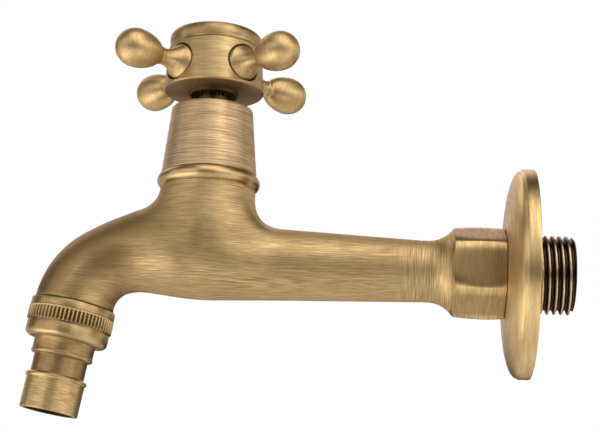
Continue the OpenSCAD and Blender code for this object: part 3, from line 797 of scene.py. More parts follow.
def spout_field(x, y, z):
    """Distance to the spout, whose rounded root hides in the neck."""
    share, off = spout_spot(np.minimum(x, NECK_X), z)
    high, wide = smooth_row(share, SPOUT_HIGH), smooth_row(share, SPOUT_WIDE)
    past = np.maximum(x - NECK_X, 0) / ROOT_DEPTH
    return (np.sqrt((off / high) ** 2 + (y / wide) ** 2 + past * past) - 1) * np.minimum(high, wide)


def arm_field(x, y, z):
    """Distance to the arm, which widens towards the neck and ends inside it."""
    high = arm_radius(x)
    wide = high + (ROOT_HALF_WIDTH - high) * ramp(-x, ARM_WIDENS_FROM, ARM_WIDENS_TO)
    past = np.maximum(NECK_X - x, 0) / ROOT_DEPTH
    return (np.sqrt((y / wide) ** 2 + ((z - arm_middle(x)) / high) ** 2 + past * past) - 1) * high


def neck_field(x, y, z):
    """Distance to the neck: a cylinder with a rounded bottom."""
    depth = CUP_TOP + CUP_BOTTOM
    below = np.maximum(CUP_TOP - z, 0) / depth
    off = np.hypot(x - NECK_X, y) / NECK_R
    return (np.sqrt(off * off + below * below) - 1) * min(NECK_R, depth)


def casting_field(x, y, z):
    """Distance to the whole casting."""
    s = sizes()
    softer = (1 + FRONT_SOFTENING * ramp(np.abs(y), FRONT_FROM, FRONT_TO)) / MM
    neck, spout, arm = (scaled(f, x, y, z) for f in (neck_field, spout_field, arm_field))
    return soft_join(soft_join(neck, spout, s.spout_fillet * softer), arm, s.wall_fillet * softer)[0]


def gradient(field, points, step=0.02):
    """Slope of a field at each point."""
    out = np.zeros_like(points)
    for axis, shift in enumerate(np.eye(3) * step):
        ahead, behind = (points + shift).T, (points - shift).T
        out[:, axis] = (field(*ahead) - field(*behind)) / (2 * step)
    return out


def surface_net(field, low, high, step):
    """Vertices and quads of the surface where a field is zero: one vertex in each cell that it cuts."""
    axes = [np.arange(low[i], high[i] + step, step) for i in range(3)]
    value = field(*np.meshgrid(*axes, indexing="ij", sparse=True))
    inside = value < 0
    cells = tuple(n - 1 for n in value.shape)
    corners = [(i, j, k) for i in (0, 1) for j in (0, 1) for k in (0, 1)]
    filled = sum(
        inside[i:i + cells[0], j:j + cells[1], k:k + cells[2]].astype(np.int8) for i, j, k in corners)
    active = (filled > 0) & (filled < 8)
    where = np.argwhere(active)
    total, hits = np.zeros((len(where), 3)), np.zeros((len(where), 1))
    for corner in corners:
        for axis, edge in enumerate(np.eye(3, dtype=int)):
            if corner[axis]:
                continue
            near = where + corner
            a, b = value[tuple(near.T)], value[tuple((near + edge).T)]
            cut = ((a < 0) != (b < 0))[:, None]
            t = np.where(cut, a[:, None] / np.where(cut, (a - b)[:, None], 1), 0)
            total += np.where(cut, near + t * edge, 0)
            hits += cut
    points = np.array([a[0] for a in axes]) + total / hits * step
    number = np.full(cells, -1)
    number[active] = np.arange(len(where))
    quads = []
    for axis, one, two in ((0, 1, 2), (1, 2, 0), (2, 0, 1)):
        crossing = inside != np.roll(inside, -1, axis)
        edges = [slice(1, n) for n in cells]
        edges[axis] = slice(0, cells[axis])
        spots = np.argwhere(crossing[tuple(edges)])
        spots[:, [one, two]] += 1
        loop = []
        for step_one, step_two in ((-1, -1), (0, -1), (0, 0), (-1, 0)):
            cell = spots.copy()
            cell[:, one] += step_one
            cell[:, two] += step_two
            loop.append(number[tuple(cell.T)])
        loop = np.stack(loop, 1)
        quads.append(np.where(inside[tuple(spots.T)][:, None], loop, loop[:, ::-1]))
    return points, np.vstack(quads)


def settle(field, points, rounds=2):
    """Moves points onto the surface of a field."""
    for _ in range(rounds):
        slope = gradient(field, points)
        points = points - slope * (field(*points.T) / np.maximum((slope**2).sum(1), 1e-9))[:, None]
    return points


# The zone that is smoothed where three forms meet: half length along X, share of that over which it
# fades, height above which it fades, depth of that fade, and rounds of smoothing
MEETING_HALF = 9.0
MEETING_EDGE = 0.4
MEETING_TOP = 9.0
MEETING_FADE = 4.0
MEETING_ROUNDS = 40


def meeting_share(points):
    """How much each point belongs to the zone that is smoothed."""
    off = np.abs(points[:, 0] - NECK_X) / MEETING_HALF
    below = MEETING_TOP + MEETING_FADE - points[:, 2]
    return (ramp(1 - off, 0.0, MEETING_EDGE) * ramp(below, 0.0, MEETING_FADE))[:, None]


def smooth_meeting(points, quads):
    """Evens out the casting where arm, neck and spout meet, with hardly any shrinking."""
    edges = np.concatenate([quads[:, [k, (k + 1) % 4]] for k in range(4)])
    edges = np.unique(np.sort(edges, axis=1), axis=0)
    count = np.bincount(edges.ravel(), minlength=len(points))[:, None]
    share = meeting_share(points)

    def evened(values):
        for _ in range(MEETING_ROUNDS):
            total = np.zeros_like(values)
            np.add.at(total, edges[:, 0], values[edges[:, 1]])
            np.add.at(total, edges[:, 1], values[edges[:, 0]])
            values = values + 0.5 * share * (total / count - values)
        return values

    smooth = evened(points)
    return smooth + evened(points - smooth)


# Where the turned ends take over from the casting, and the room round it in which it is meshed
COLLAR_CUT_X = -21.5
NECK_CUT_Z = NECK_TOP - 0.5
OUTLET_CUT = 0.6
SIDE_ROOM, CUT_ROOM, SPOUT_ROOM, OUTLET_ROOM = 14.0, 1.2, 13.5, 2.5


def trim(mesh, spot, normal):
    """Cuts away what lies beyond a plane."""
    everything = mesh.verts[:] + mesh.edges[:] + mesh.faces[:]
    bmesh.ops.bisect_plane(
        mesh, geom=everything, plane_co=Vector(spot) * MM, plane_no=normal, clear_outer=True, dist=1e-7)


def make_casting(material):
    """Arm, neck and spout, blended and trimmed where the turned ends begin."""
    low = (OUTLET.x - SPOUT_ROOM, -SIDE_ROOM, OUTLET.z - OUTLET_ROOM)
    high = (COLLAR_CUT_X + CUT_ROOM, SIDE_ROOM, NECK_TOP + CUT_ROOM)
    points, quads = surface_net(casting_field, low, high, sizes().cell / MM)
    points = smooth_meeting(settle(casting_field, points), quads)
    piece = new_piece("casting", points, [tuple(q) for q in quads.tolist()])
    mesh = bmesh.new()
    mesh.from_mesh(piece.data)
    trim(mesh, (COLLAR_CUT_X, 0, 0), (1, 0, 0))
    trim(mesh, (0, 0, NECK_CUT_Z), (0, 0, 1))
    trim(mesh, OUTLET - OUTLET_DOWN * OUTLET_CUT, OUTLET_DOWN)
    mesh.to_mesh(piece.data)
    mesh.free()
    spots = np.array([v.co for v in piece.data.vertices]) / MM
    slope = gradient(casting_field, spots)
    share = meeting_share(spots)
    of_mesh = np.array([v.normal for v in piece.data.vertices])
    normals = slope / np.linalg.norm(slope, axis=1)[:, None] * (1 - share) + of_mesh * share
    piece.data.shade_smooth()
    piece.data.normals_split_custom_set_from_vertices([tuple(n) for n in normals])
    dress(piece, material, "fixed", ("body",))


# The inlet: flare, collar and pipe thread

COLLAR_END_R = 12.0
COLLAR_BACK_R = 12.25
COLLAR_CROWN = 0.5
# Distance of the collar's six flats from the axis, and the width of the blend at their edges
COLLAR_FLAT_R = 11.2
COLLAR_EDGE = 0.9
COLLAR_COLUMNS = 288
COLLAR_RIM = 0.35
LIP_EDGE = 0.06
LIP_LENGTH = -FLARE_LIP_X
FLANGE_FRONT = -FLANGE_LOW[0]
INLET_END = BODY_HIGH[0]
THREAD_R = 10.4775
MOUTH_R = 6.5
MOUTH_DEPTH = 14.0
TINY = 1e-3


def slope_of(values, spot):
    """Slope of a function at a spot."""
    return (values(spot + TINY) - values(spot - TINY)) / (2 * TINY)


def collar_radius(angles, height):
    """Radius of the collar's outside: a crowned barrel with six flats for a spanner."""
    t = (LIP_LENGTH - height) / (LIP_LENGTH - FLANGE_FRONT)
    barrel = COLLAR_END_R + (COLLAR_BACK_R - COLLAR_END_R) * t + 4 * COLLAR_CROWN * t * (1 - t)
    turn = (angles + math.pi / 6) % (math.pi / 3) - math.pi / 6
    flat = COLLAR_FLAT_R / np.cos(turn)
    share = np.clip(0.5 + 0.5 * (flat - barrel) / COLLAR_EDGE, 0, 1)
    return flat + (barrel - flat) * share - COLLAR_EDGE * share * (1 - share)


def flare_radius(height):
    """Radius of the flare, by its distance from the wall."""
    return arm_radius(-height)


def make_collar(material):
    """The end of the flare, its scalloped lip and the hexagonal collar."""
    angles = np.linspace(0, FULL_TURN, COLLAR_COLUMNS + 1)
    cut, back = -COLLAR_CUT_X, FLANGE_FRONT + 0.4
    low, high = np.full_like(angles, LIP_LENGTH - 0.6), np.full_like(angles, cut - 0.01)
    for _ in range(30):
        lip = (low + high) / 2
        outside = flare_radius(lip) > collar_radius(angles, lip)
        low, high = np.where(outside, lip, low), np.where(outside, high, lip)
    spots, tilts = [], []

    def add_row(radius, height, outward, sideways, upward):
        tilt = ring(outward, upward, angles) + ring(sideways, 0, angles + math.pi / 2)
        spots.append(ring(radius, height, angles))
        tilts.append(tilt / np.linalg.norm(tilt, axis=1)[:, None])

    inside, hidden = THREAD_R - 2.0, FLANGE_FRONT + 0.05
    add_row(inside, hidden, 0, 0, -1)
    add_row(collar_radius(angles, back) - COLLAR_RIM, hidden, 0.3, 0, -1)
    for t in np.linspace(0, 1, 12):
        height = back + (lip - LIP_EDGE - back) * t
        radius = collar_radius(angles, height)
        add_row(
            radius, height, radius, -slope_of(lambda a: collar_radius(a, height), angles),
            -radius * slope_of(lambda z: collar_radius(angles, z), height))
    for t in np.linspace(0, 1, 8):
        height = lip + LIP_EDGE + (cut - lip - LIP_EDGE) * t
        add_row(flare_radius(height), height, 1, 0, -slope_of(flare_radius, height))
    add_row(inside, cut, 0, 0, 1)
    grid = np.array(spots + spots[:1]), np.array(tilts + tilts[:1])
    piece = welded("collar", [grid], FROM_WALL)
    dress(piece, material, "fixed", ("body",))


def thread_form(phase):
    """Rounded pipe-thread section: 1 on the crest and 0 in the root."""
    return np.clip(0.5 + 0.625 * np.cos(FULL_TURN * phase), 0.0, 1.0)


def threaded(name, before, cut, after, place, segments=144):
    """A grid round local Z along a path of (radius, height), threaded over its middle part.

    cut holds the heights where the thread starts, where its chamfer starts and where it ends, and the
    length of a row.
    """
    s = sizes()
    pitch, depth = s.thread_pitch / MM, s.thread_depth / MM
    angles = np.linspace(0, FULL_TURN, segments, endpoint=False)
    start, chamfer, end, row = cut
    rows = [ring(r, z, angles) for r, z in before]
    for z in np.linspace(start, end, int((end - start) / row)):
        level = thread_form((z - start) / pitch - angles / FULL_TURN)
        fade = min(1.0, (z - start) / pitch)
        radius = THREAD_R - depth * (1 - level) * fade
        rows.append(ring(np.minimum(radius, THREAD_R - max(z - chamfer, 0) * 1.1), z, angles))
    rows += [ring(r, z, angles) for r, z in after]
    return grid_piece(name, rows, place)


def make_inlet(material):
    """The male inlet thread with its chamfer and its mouth."""
    start, undercut, bore = -2.5, THREAD_R - 0.6, 4.5
    foot = INLET_END - MOUTH_DEPTH
    mouth = [
        (MOUTH_R + 0.5, INLET_END), (MOUTH_R + 0.15, INLET_END - 0.1), (MOUTH_R, INLET_END - 0.45),
        (MOUTH_R, foot), (bore, foot - 1.2), (bore, -30.0), (0.3, -31.0),
    ]
    piece = threaded(
        "inlet_thread", [(undercut, -FLANGE_FRONT), (undercut, start - 0.6)],
        (start, INLET_END - 0.9, INLET_END, 0.11), mouth, TO_WALL)
    dress(piece, material, "fixed", ("body",))


def make_neck_rim(material):
    """The neck's turned rim and the bore behind it."""
    foot = NECK_CUT_Z - 4
    corners = [
        (NECK_BORE_R, foot, 0), (NECK_R - 0.5, foot, 0), (NECK_R - 0.02, NECK_CUT_Z - 0.01, 0),
        (NECK_R, NECK_CUT_Z, 0), (NECK_R, NECK_TOP, 0.15), (NECK_BORE_R, NECK_TOP, 0),
    ]
    piece = turned("neck_rim", corners, ON_NECK, 192)
    dress(piece, material, "fixed", ("body",))


SPIGOT_LEN = 6.6


def make_spigot(material):
    """The spout's end and the male outlet thread inside the union nut."""
    start, undercut, bore = 1.2, THREAD_R - 0.5, 5.1
    shoulder = [
        (SPOUT_END_R - 0.02, -OUTLET_CUT - 0.4), (SPOUT_END_R, -OUTLET_CUT), (SPOUT_END_R, -0.12),
        (SPOUT_END_R - 0.12, 0.0), (undercut, 0.02), (undercut, start - 0.4),
    ]
    mouth = [(MOUTH_R, SPIGOT_LEN), (MOUTH_R, 0.0), (bore, -0.1), (bore, -9.0), (0.3, -9.2)]
    piece = threaded(
        "outlet_spigot", shoulder, (start, SPIGOT_LEN - 0.6, SPIGOT_LEN, 0.13), mouth, DOWN_OUTLET)
    dress(piece, material, "fixed", ("body",))


# Flange, bead, bonnet and handle

FLANGE_BORE_R = 10.68
FLANGE_SEAT_R = 13.9
RIM_LENGTH = 3.4
RIM_WALL = 2.4
BEAD_BORE_R = 11.78
BONNET_TOP_R = 11.1
BONNET_MOUTH_R = 6.94
BONNET_WALL = 1.2


def make_flange(material):
    """The domed wall flange, open at the back."""
    rim, front, seat = FLANGE_HIGH[2], FLANGE_FRONT, FLANGE_SEAT_R
    corners = [(FLANGE_BORE_R, front - 3, 0.1), (FLANGE_BORE_R, front, 0.15), (seat - 0.2, front, 0)]
    corners += [
        (seat + (rim - 0.35 - seat) * math.cos(a), RIM_LENGTH + (front - RIM_LENGTH) * math.sin(a), 0)
        for a in np.radians(np.linspace(86, 3, 22))
    ]
    corners += [
        (rim, RIM_LENGTH - 0.4, 0.9), (rim, 0, 0.3), (rim - RIM_WALL, 0, 0.15),
        (rim - RIM_WALL, front - 4.6, 0.5), (rim - 5.9, front - 3, 0.8),
    ]
    piece = turned("flange", corners, FROM_WALL, 256)
    dress(piece, material, "fixed", ("wall_flange",))


def make_bead(material):
    """The half-round bead between neck and bonnet."""
    foot, top = BEAD_LOW[2], BEAD_HIGH[2]
    seam_r = NECK_R - 0.05
    bulge = BEAD_HIGH[0] - NECK_X - seam_r
    half = (top - foot) / 2 - 0.12
    round_r = (half**2 + bulge**2) / (2 * bulge)
    lean = math.degrees(math.asin(half / round_r))
    corners = [(BEAD_BORE_R, foot, 0), (seam_r - 0.1, foot, 0)]
    corners += arc(seam_r + bulge - round_r, (foot + top) / 2, round_r, -lean, lean, 20)
    corners += [(seam_r - 0.1, top, 0), (BEAD_BORE_R, top, 0)]
    piece = turned("bead", corners, ON_NECK, 192)
    dress(piece, material, "fixed", ("bead_ring",))


def make_bonnet(material):
    """The tapered bonnet over the valve."""
    foot, top = BONNET_LOW[2], BONNET_HIGH[2]
    foot_r, inside = BONNET_HIGH[0] - NECK_X, BONNET_TOP_R - BONNET_WALL
    corners = [
        (NECK_BORE_R, foot, 0.1), (foot_r, foot, 0.25), (BONNET_TOP_R, top, 0.9),
        (BONNET_MOUTH_R, top, 0.25), (BONNET_MOUTH_R, top - 2, 0.2), (inside, top - 2, 0.4),
        (inside, foot + 4.6, 0), (NECK_BORE_R, foot + 4, 0),
    ]
    piece = turned("bonnet_shroud", corners, ON_NECK, 192)
    dress(piece, material, "fixed", ("bonnet",))


def make_cap(material):
    """The cushion-shaped cap on the hub."""
    seam, top = HUB_HIGH[2], CAP_HIGH[2]
    rim, plug, round_r, crown = CAP_HIGH[0] - NECK_X, 10.8, 2.2, 0.3
    corners = [(0, CAP_LOW[2], 0), (plug, CAP_LOW[2], 0.1), (plug, seam, 0)]
    corners += [(rim - 0.35, seam + 0.02, 0.1), (rim - 0.12, seam + 0.2, 0.15), (rim, seam + 1.6, 6.0)]
    corners += arc(rim - round_r, top - crown - round_r, round_r, 0, 84, 10)
    corners += [((rim - round_r) * t, top - crown * t * t, 0) for t in (0.75, 0.5, 0.25, 0)]
    piece = turned("cap", corners, ON_NECK, 192, closed=False)
    dress(piece, material, "handle", ("hub_cap",))


SPOKES = {
    "spoke_left_front": 225, "spoke_right_front": 315, "spoke_right_back": 45, "spoke_left_back": 135,
}
HUB_R = HUB_HIGH[0] - NECK_X
HUB_TOP_R = CAP_HIGH[0] - NECK_X + 0.15
HUB_BORE_R = 10.95
HUB_FLOOR = 0.9
BOSS_HOLE_R = 6.85
SPOKE_HIGH = HUB_LOW[2] + (HUB_HIGH[2] - HUB_LOW[2]) * 0.49
SPOKE_HOLE_R = 5.25
SPOKE_HOLE_EDGE = 0.2
# Mesh columns across a quarter of the hub, and rows up its side
HUB_COLUMNS, HUB_ROWS = 32, 14


def hub_quarter(turn, outer, inner):
    """A quarter of the hub's wall round one hole; each wall is its foot and top as (r, z, nr, nz)."""
    p = np.linspace(-1, 1, HUB_COLUMNS + 1)
    v = np.linspace(0, 1, HUB_ROWS + 1)
    across = np.concatenate([p[:-1], np.ones(HUB_ROWS), p[:0:-1], -np.ones(HUB_ROWS + 1)])
    upward = np.concatenate([np.zeros(HUB_COLUMNS), v[:-1], np.ones(HUB_COLUMNS), v[::-1]])
    sideways = across * math.pi / 4
    spots, tilts = [], []

    def height(wall):
        return wall[0][1] + (wall[1][1] - wall[0][1]) * upward

    def radius(wall, z):
        (r0, z0), (r1, z1) = wall[0][:2], wall[1][:2]
        return r0 + (r1 - r0) * (z - z0) / (z1 - z0)

    lean = np.arctan2(height(outer) - SPOKE_HIGH, radius(outer, SPOKE_HIGH) * sideways)

    def wall_row(wall, hole_r, t):
        """A ring on a wall, a share t of the way from the hole's edge to the quarter's edge."""
        rim_z = SPOKE_HIGH + hole_r * np.sin(lean)
        rim_turn = np.arcsin(hole_r * np.cos(lean) / radius(wall, rim_z))
        z = rim_z + (height(wall) - rim_z) * t
        angle = turn + rim_turn + (sideways - rim_turn) * t
        spots.append(ring(radius(wall, z), z, angle))
        tilts.append(ring(*wall[0][2:], angle))

    def hole_row(wall, shift):
        """A ring on the hole's own wall, shifted along the hole from where it meets a wall."""
        y, z = SPOKE_HOLE_R * np.cos(lean), SPOKE_HIGH + SPOKE_HOLE_R * np.sin(lean)
        x = np.sqrt(radius(wall, z) ** 2 - y * y) + shift
        spots.append(ring(np.hypot(x, y), z, turn + np.arctan2(y, x)))
        tilts.append(ring(np.cos(lean), -np.sin(lean), turn - math.pi / 2))

    for t in (1.0, 0.5, 0.1, 0.0):
        wall_row(inner, SPOKE_HOLE_R, t)
    hole_row(inner, 0.05)
    hole_row(outer, -SPOKE_HOLE_EDGE)
    for t in (0.0, 0.1, 0.3, 0.6, 1.0):
        wall_row(outer, SPOKE_HOLE_R + SPOKE_HOLE_EDGE, t)
    return np.array(spots), np.array(tilts)


def make_hub(material):
    """The hub's tapered shell, with a soft-edged round hole for each spoke."""
    foot, top = HUB_LOW[2], HUB_HIGH[2]
    path = soften([
        (HUB_R + 0.05, foot, 0.6), (HUB_TOP_R - 0.03, top, 0.35), (HUB_BORE_R, top, 0.1),
        (HUB_BORE_R, foot + HUB_FLOOR, 0), (BOSS_HOLE_R, foot + HUB_FLOOR, 0), (BOSS_HOLE_R, foot, 0.1),
    ], True)
    # The two longest straight runs are the outer and the inner wall
    gaps = np.linalg.norm(np.roll(path, -1, 0)[:, :2] - path[:, :2], axis=1)
    low, high = sorted(np.argsort(gaps)[-2:])
    outer = path[low], path[low + 1]
    inner = (*path[high + 1][:2], -1.0, 0.0), (*path[high][:2], -1.0, 0.0)
    grids = [hub_quarter(math.radians(degrees), outer, inner) for degrees in SPOKES.values()]
    angles = np.linspace(0, FULL_TURN, 4 * HUB_COLUMNS + 1)
    for rows in (path[low + 1:high + 1], np.concatenate([path[high + 1:], path[:low + 1]])):
        grids.append(swept(rows, angles))
    piece = welded("hub", grids, ON_NECK)
    dress(piece, material, "handle", ("hub_shell",))


def spoke_profile():
    """Stud, plug, trumpet, seam ring and egg-shaped ball, from the hub's axis outwards."""
    stud, plug, neck, ball = 2.0, 4.8, 2.25, 5.25
    root, flat, reach, tip = 4.9, 8.0, 27.2, 32.8
    start, seam = HUB_R - 0.85, HUB_R + 5.0
    back, front = (reach - seam - 0.5) * 1.06, tip - reach
    corners = [
        (0, root, 0), (stud, root, 0.1), (stud, flat, 0), (plug, flat, 0.1), (plug, start - 0.1, 0),
    ]
    corners += [
        (neck + (plug - neck) * (1 - t) ** 2.6, start + (seam - start) * t, 0)
        for t in np.linspace(0.02, 0.97, 20)
    ]
    corners += [(neck + 0.2, seam, 0.1), (neck + 0.2, seam + 0.45, 0.1)]
    for length, angles in ((-back, np.linspace(28, 88, 16)), (front, np.linspace(90, 3, 22))):
        corners += [(ball * math.sin(a), reach + length * math.cos(a), 0) for a in np.radians(angles)]
    return corners + [(0, tip, 0)]


def make_spokes(material):
    """Four turned spokes of the cross handle."""
    profile = spoke_profile()
    for name, degrees in SPOKES.items():
        a = math.radians(degrees)
        place = along((math.cos(a), math.sin(a), 0), (NECK_X, 0, SPOKE_HIGH))
        piece = turned(name.replace("spoke", "arm"), profile, place, 96, closed=False)
        dress(piece, material, "handle", (name,))


# Union nut and hose tail, in the outlet's own axes: heights are below zero

NUT_R = 11.45
NUT_TOP = -0.3
NUT_FOOT = -10.3
NUT_BORE_R = 10.58
NUT_HOLE_R = 8.23
NUT_FLOOR = NUT_FOOT + 1.3
# The knurled band, and mesh columns to a flute
BAND_TOP = NUT_TOP - 2.0
BAND_FOOT = BAND_TOP - 3.9
FLUTE_COLUMNS = 12
# Heads, bores and rings of the tail
TAIL_HEAD_R = 10.28
TAIL_NECK_R = 8.15
TAIL_BARB_R = 8.3
TAIL_GROOVE_R = 7.2
TAIL_LIP_R = 8.2
TAIL_SLEEVE_R = 7.8
TAIL_BORE_R = 6.5
TAIL_THROAT_R = 5.6


def second_finish(piece, material, belongs):
    """Gives a piece's faces another material where their radius and height belong to it."""
    piece.data.materials.append(material)
    for face in piece.data.polygons:
        x, y, z = face.center / MM
        if belongs(math.hypot(x, y), z):
            face.material_index = 1


def nut_profile():
    """Outside of the nut from its top to its foot, then back up inside."""
    plain_r, foot_r, shoulder_r, waist_r = NUT_R - 0.13, NUT_R - 0.37, 1.5, NUT_R - 0.5
    return [
        (NUT_BORE_R, NUT_TOP), (plain_r - 0.25, NUT_TOP), (plain_r - 0.07, NUT_TOP - 0.07),
        (plain_r, NUT_TOP - 0.25), (plain_r, BAND_TOP + 0.08), (plain_r - 0.12, BAND_TOP),
        (plain_r - 0.02, BAND_TOP - 0.08), (NUT_R - 0.02, BAND_TOP - 0.14), (NUT_R, BAND_TOP - 0.25),
        *((NUT_R, z) for z in np.linspace(BAND_TOP - 0.35, BAND_FOOT + 0.35, 28)),
        (NUT_R - 0.02, BAND_FOOT + 0.2), (NUT_R - 0.15, BAND_FOOT + 0.05), (waist_r, BAND_FOOT - 0.02),
        (waist_r, BAND_FOOT - 0.3), (foot_r - 0.05, BAND_FOOT - 0.36), (foot_r, BAND_FOOT - 0.5),
        *((r, z) for r, z, _ in arc(foot_r - shoulder_r, NUT_FOOT + shoulder_r, shoulder_r, 0, -84, 8)),
        (NUT_HOLE_R + 0.12, NUT_FOOT), (NUT_HOLE_R, NUT_FOOT + 0.12), (NUT_HOLE_R, NUT_FLOOR),
        (NUT_BORE_R, NUT_FLOOR), (NUT_BORE_R, NUT_TOP),
    ]


def make_nut(material, flute_material):
    """The union nut with its straight knurling."""
    s = sizes()
    angles = np.linspace(0, FULL_TURN, s.flutes * FLUTE_COLUMNS, endpoint=False)
    flute = s.flute_depth / MM * (0.5 + 0.5 * np.cos(angles * s.flutes)) ** 1.2
    rows = []
    for r, z in nut_profile():
        window = ramp(-z, 0.2 - BAND_TOP, 0.7 - BAND_TOP) * ramp(z, BAND_FOOT + 0.05, BAND_FOOT + 0.5)
        rows.append(ring(r if r <= NUT_BORE_R else r - window * flute, z, angles))
    piece = grid_piece("nut", rows, ON_OUTLET)
    facing_out(piece)
    dress(piece, material, "nut", ("union_nut",))
    second_finish(
        piece, flute_material, lambda r, z: BAND_FOOT < z < BAND_TOP and r > NUT_BORE_R + 0.1)


def make_tail(material, bore_material):
    """The hose tail with its groove, rings and barb, dark inside with painted shade."""
    head, barb, lip = -8.0, NUT_FOOT - 4.2, NUT_FOOT - 9.7
    end = lip - 9.4
    corners = [
        (TAIL_THROAT_R, head, 0.1), (TAIL_HEAD_R, head, 0.1), (TAIL_HEAD_R, head - 1, 0.1),
        (TAIL_NECK_R, head - 1, 0), (TAIL_NECK_R, barb + 0.95, 0.1), (TAIL_BARB_R, barb + 0.7, 0.1),
        (TAIL_BARB_R, barb + 0.2, 0.1), (TAIL_BARB_R - 0.35, barb - 0.1, 0.15),
        (TAIL_GROOVE_R, barb - 0.3, 0.2), (TAIL_GROOVE_R, lip + 0.35, 0.2),
        (TAIL_LIP_R - 0.2, lip, 0.12), (TAIL_LIP_R, lip - 0.25, 0.12), (TAIL_LIP_R, lip - 0.7, 0.12),
        (TAIL_LIP_R - 0.2, lip - 0.95, 0.1), (TAIL_SLEEVE_R, lip - 1.05, 0.08),
        (TAIL_SLEEVE_R, end, 0.3), (TAIL_BORE_R, end, 0.25),
        (TAIL_BORE_R, barb - 1.5, 0.2), (TAIL_THROAT_R, barb - 0.3, 0.2),
    ]
    piece = turned("tail", corners, ON_OUTLET)
    dress(piece, material, "tail", ("hose_tail",))
    second_finish(piece, bore_material, lambda r, z: r < TAIL_BORE_R + 0.1)


# Finishes

BRUSHED, TURNED = "brush lines", "turning marks"
FINE_PITCH = 0.3 * MM


def between(low, high, **shares):
    """Settings of the reach group between two depths in millimetres."""
    return {"From": low * MM, "To": high * MM, **shares}


def make_finishes():
    """Makes every material of the tap."""
    c = colours()
    raw = tuple(c.raw)
    # Patina and painted shade: the thread roots are near black
    root_shade_and_patina = between(THREAD_R - 0.42, THREAD_R - 0.03)
    # Painted shade: the hub's underside is darker, up to half a millimetre above its foot
    hub_underside_shade = between(HUB_LOW[2] + 0.05, HUB_LOW[2] + 0.5, Radius_Share=0.0, Height_Share=1.0)
    # Painted shade: the tail is darker in its groove and towards the nut
    rise = -0.12
    at_nut = rise * NUT_FOOT
    tail_groove_shade = between(TAIL_NECK_R + at_nut, 9.3 + at_nut, Height_Share=rise, Least=0.3)
    # Painted shade on the collar's flats, darkest in their middles, so that their corners stand out as
    # painted highlights
    flats = between(COLLAR_FLAT_R + 0.45, COLLAR_FLAT_R + 1.05, Least=0.4)
    # Painted shade in the nut's flutes, darker towards their lower ends
    flutes = between(NUT_R - 0.72, NUT_R - 0.20, Height_Share=0.07)
    brass("brushed brass", BRUSHED, 0.48, 50, swing=(2.4, 0.2, 0.4), stretch=0.5,
          Width=0.2 * MM, Length=9 * MM, Waver=2 * MM)
    brass("turned brass of the collar", TURNED, 0.42, 30, 1.35, (1.9, 0.4, 0.3),
          painted_shade_and_patina=((0.22, 0.135, 0.055), flats), Pitch=0.26 * MM, Level_Faces=0.0)
    brass("turned brass of the outlet", TURNED, 0.40, 40, 0.85)
    brass("turned brass of the flange", TURNED, 0.42, 40, 1.30, (1.0, 1.0, 0.4))
    brass("turned brass of the hub", TURNED, 0.44, 30, 1.10, (1.3, 0.2, 0.4),
          painted_shade_and_patina=((0.29, 0.185, 0.080), hub_underside_shade), Pitch=FINE_PITCH)
    brass("turned brass of the cap", TURNED, 0.42, 40, 0.90, (1.8, 0.4, 0.4), Pitch=FINE_PITCH)
    brass("turned brass of the spokes", TURNED, 0.46, 30, 1.2, (0.9, 0.2, 0.25), 0.4)
    brass("coarsely turned brass", TURNED, 0.46, 50, 1.2, (2.6, 0.25, 0.3),
          metal=((0.585, 0.425, 0.235), (0.262, 0.160, 0.088)), Pitch=FINE_PITCH, Drift=1.3)
    brass("bright bead brass", TURNED, 0.34, 20, 1.1, (0.5, 0.4, 0.5))
    brass("turned brass of the nut", TURNED, 0.36, 30, 0.98, (1.0, 0.3, 0.5))
    # The fluted band is lighter than the rest of the nut: painted highlight on its ridges
    brass("fluted brass", TURNED, 0.36, 20, 1.35, (0.5, 0.4, 0.5), painted_shade_and_patina=((0.13, 0.080, 0.030), flutes))
    brass("turned brass of the tail", TURNED, 0.40, 40, 1.17, (2.4, 0.4, 0.4),
          painted_shade_and_patina=((0.20, 0.115, 0.045), tail_groove_shade), Pitch=FINE_PITCH)
    brass("machined thread", TURNED, 0.36, 30, metal=((0.62, 0.50, 0.36), raw),
          painted_shade_and_patina=(tuple(c.painted_shade_and_patina), root_shade_and_patina))
    # Painted shade: the bore is darkened to a tenth of the brass's tone
    brass("dull bore brass with painted shade", TURNED, 0.65, 30, 0.10)
    # Painted shade: the inner parts, and the hub's core in its recess, are darkened to about half the
    # machined brass
    brass("inner brass with painted shade", TURNED, 0.45, 30, 0.55, place=ON_NECK, metal=(raw, [v * 0.6 for v in raw]))
    plain("stainless steel", c.steel, 0.3, 1.0, 10, 400)
    plain("valve ceramic", c.ceramic, 0.25, 0.0, 5, 300)
    plain("black rubber", c.rubber, 0.62, 0.0, 20, 200)
    plain("grey plastic", c.plastic, 0.45, 0.0, 10, 300)


def finish(name):
    """A material of the tap; all of them are made on first use."""
    if name not in bpy.data.materials:
        make_finishes()
    return bpy.data.materials[name]


# CAD pieces whose shape is kept, by their finish
INNER_FINISH = {
    "inner brass with painted shade": ("valve_housing", "spindle", "hub_core"),
    "stainless steel": ("handle_screw", "circlip"),
    "valve ceramic": ("fixed_disc", "moving_disc"),
    "black rubber": (
        "body_washer", "seat_gasket", "spindle_ring_low", "spindle_ring_high", "tail_washer"),
    "grey plastic": ("thrust_washer",),
}


# Studio: directions are in degrees, lengths in metres

MIDDLE = Vector((-0.07, 0.0, 0.01))
# Lamps: azimuth from +X, elevation, distance, width, height, and radiance
LAMPS = {
    "key": (-72, 52, 0.80, 0.75, 0.75, 1.6),
    "side": (-36, 17, 0.80, 1.00, 0.36, 1.4),
    "front_left": (-128, 17, 0.80, 0.50, 0.36, 1.0),
    "low_left": (-157, -35, 0.42, 0.60, 0.22, 2.2),
    "low_right": (-22, -35, 0.42, 0.60, 0.22, 0.9),
    "rim": (112, 44, 0.80, 0.95, 0.40, 0.9),
}
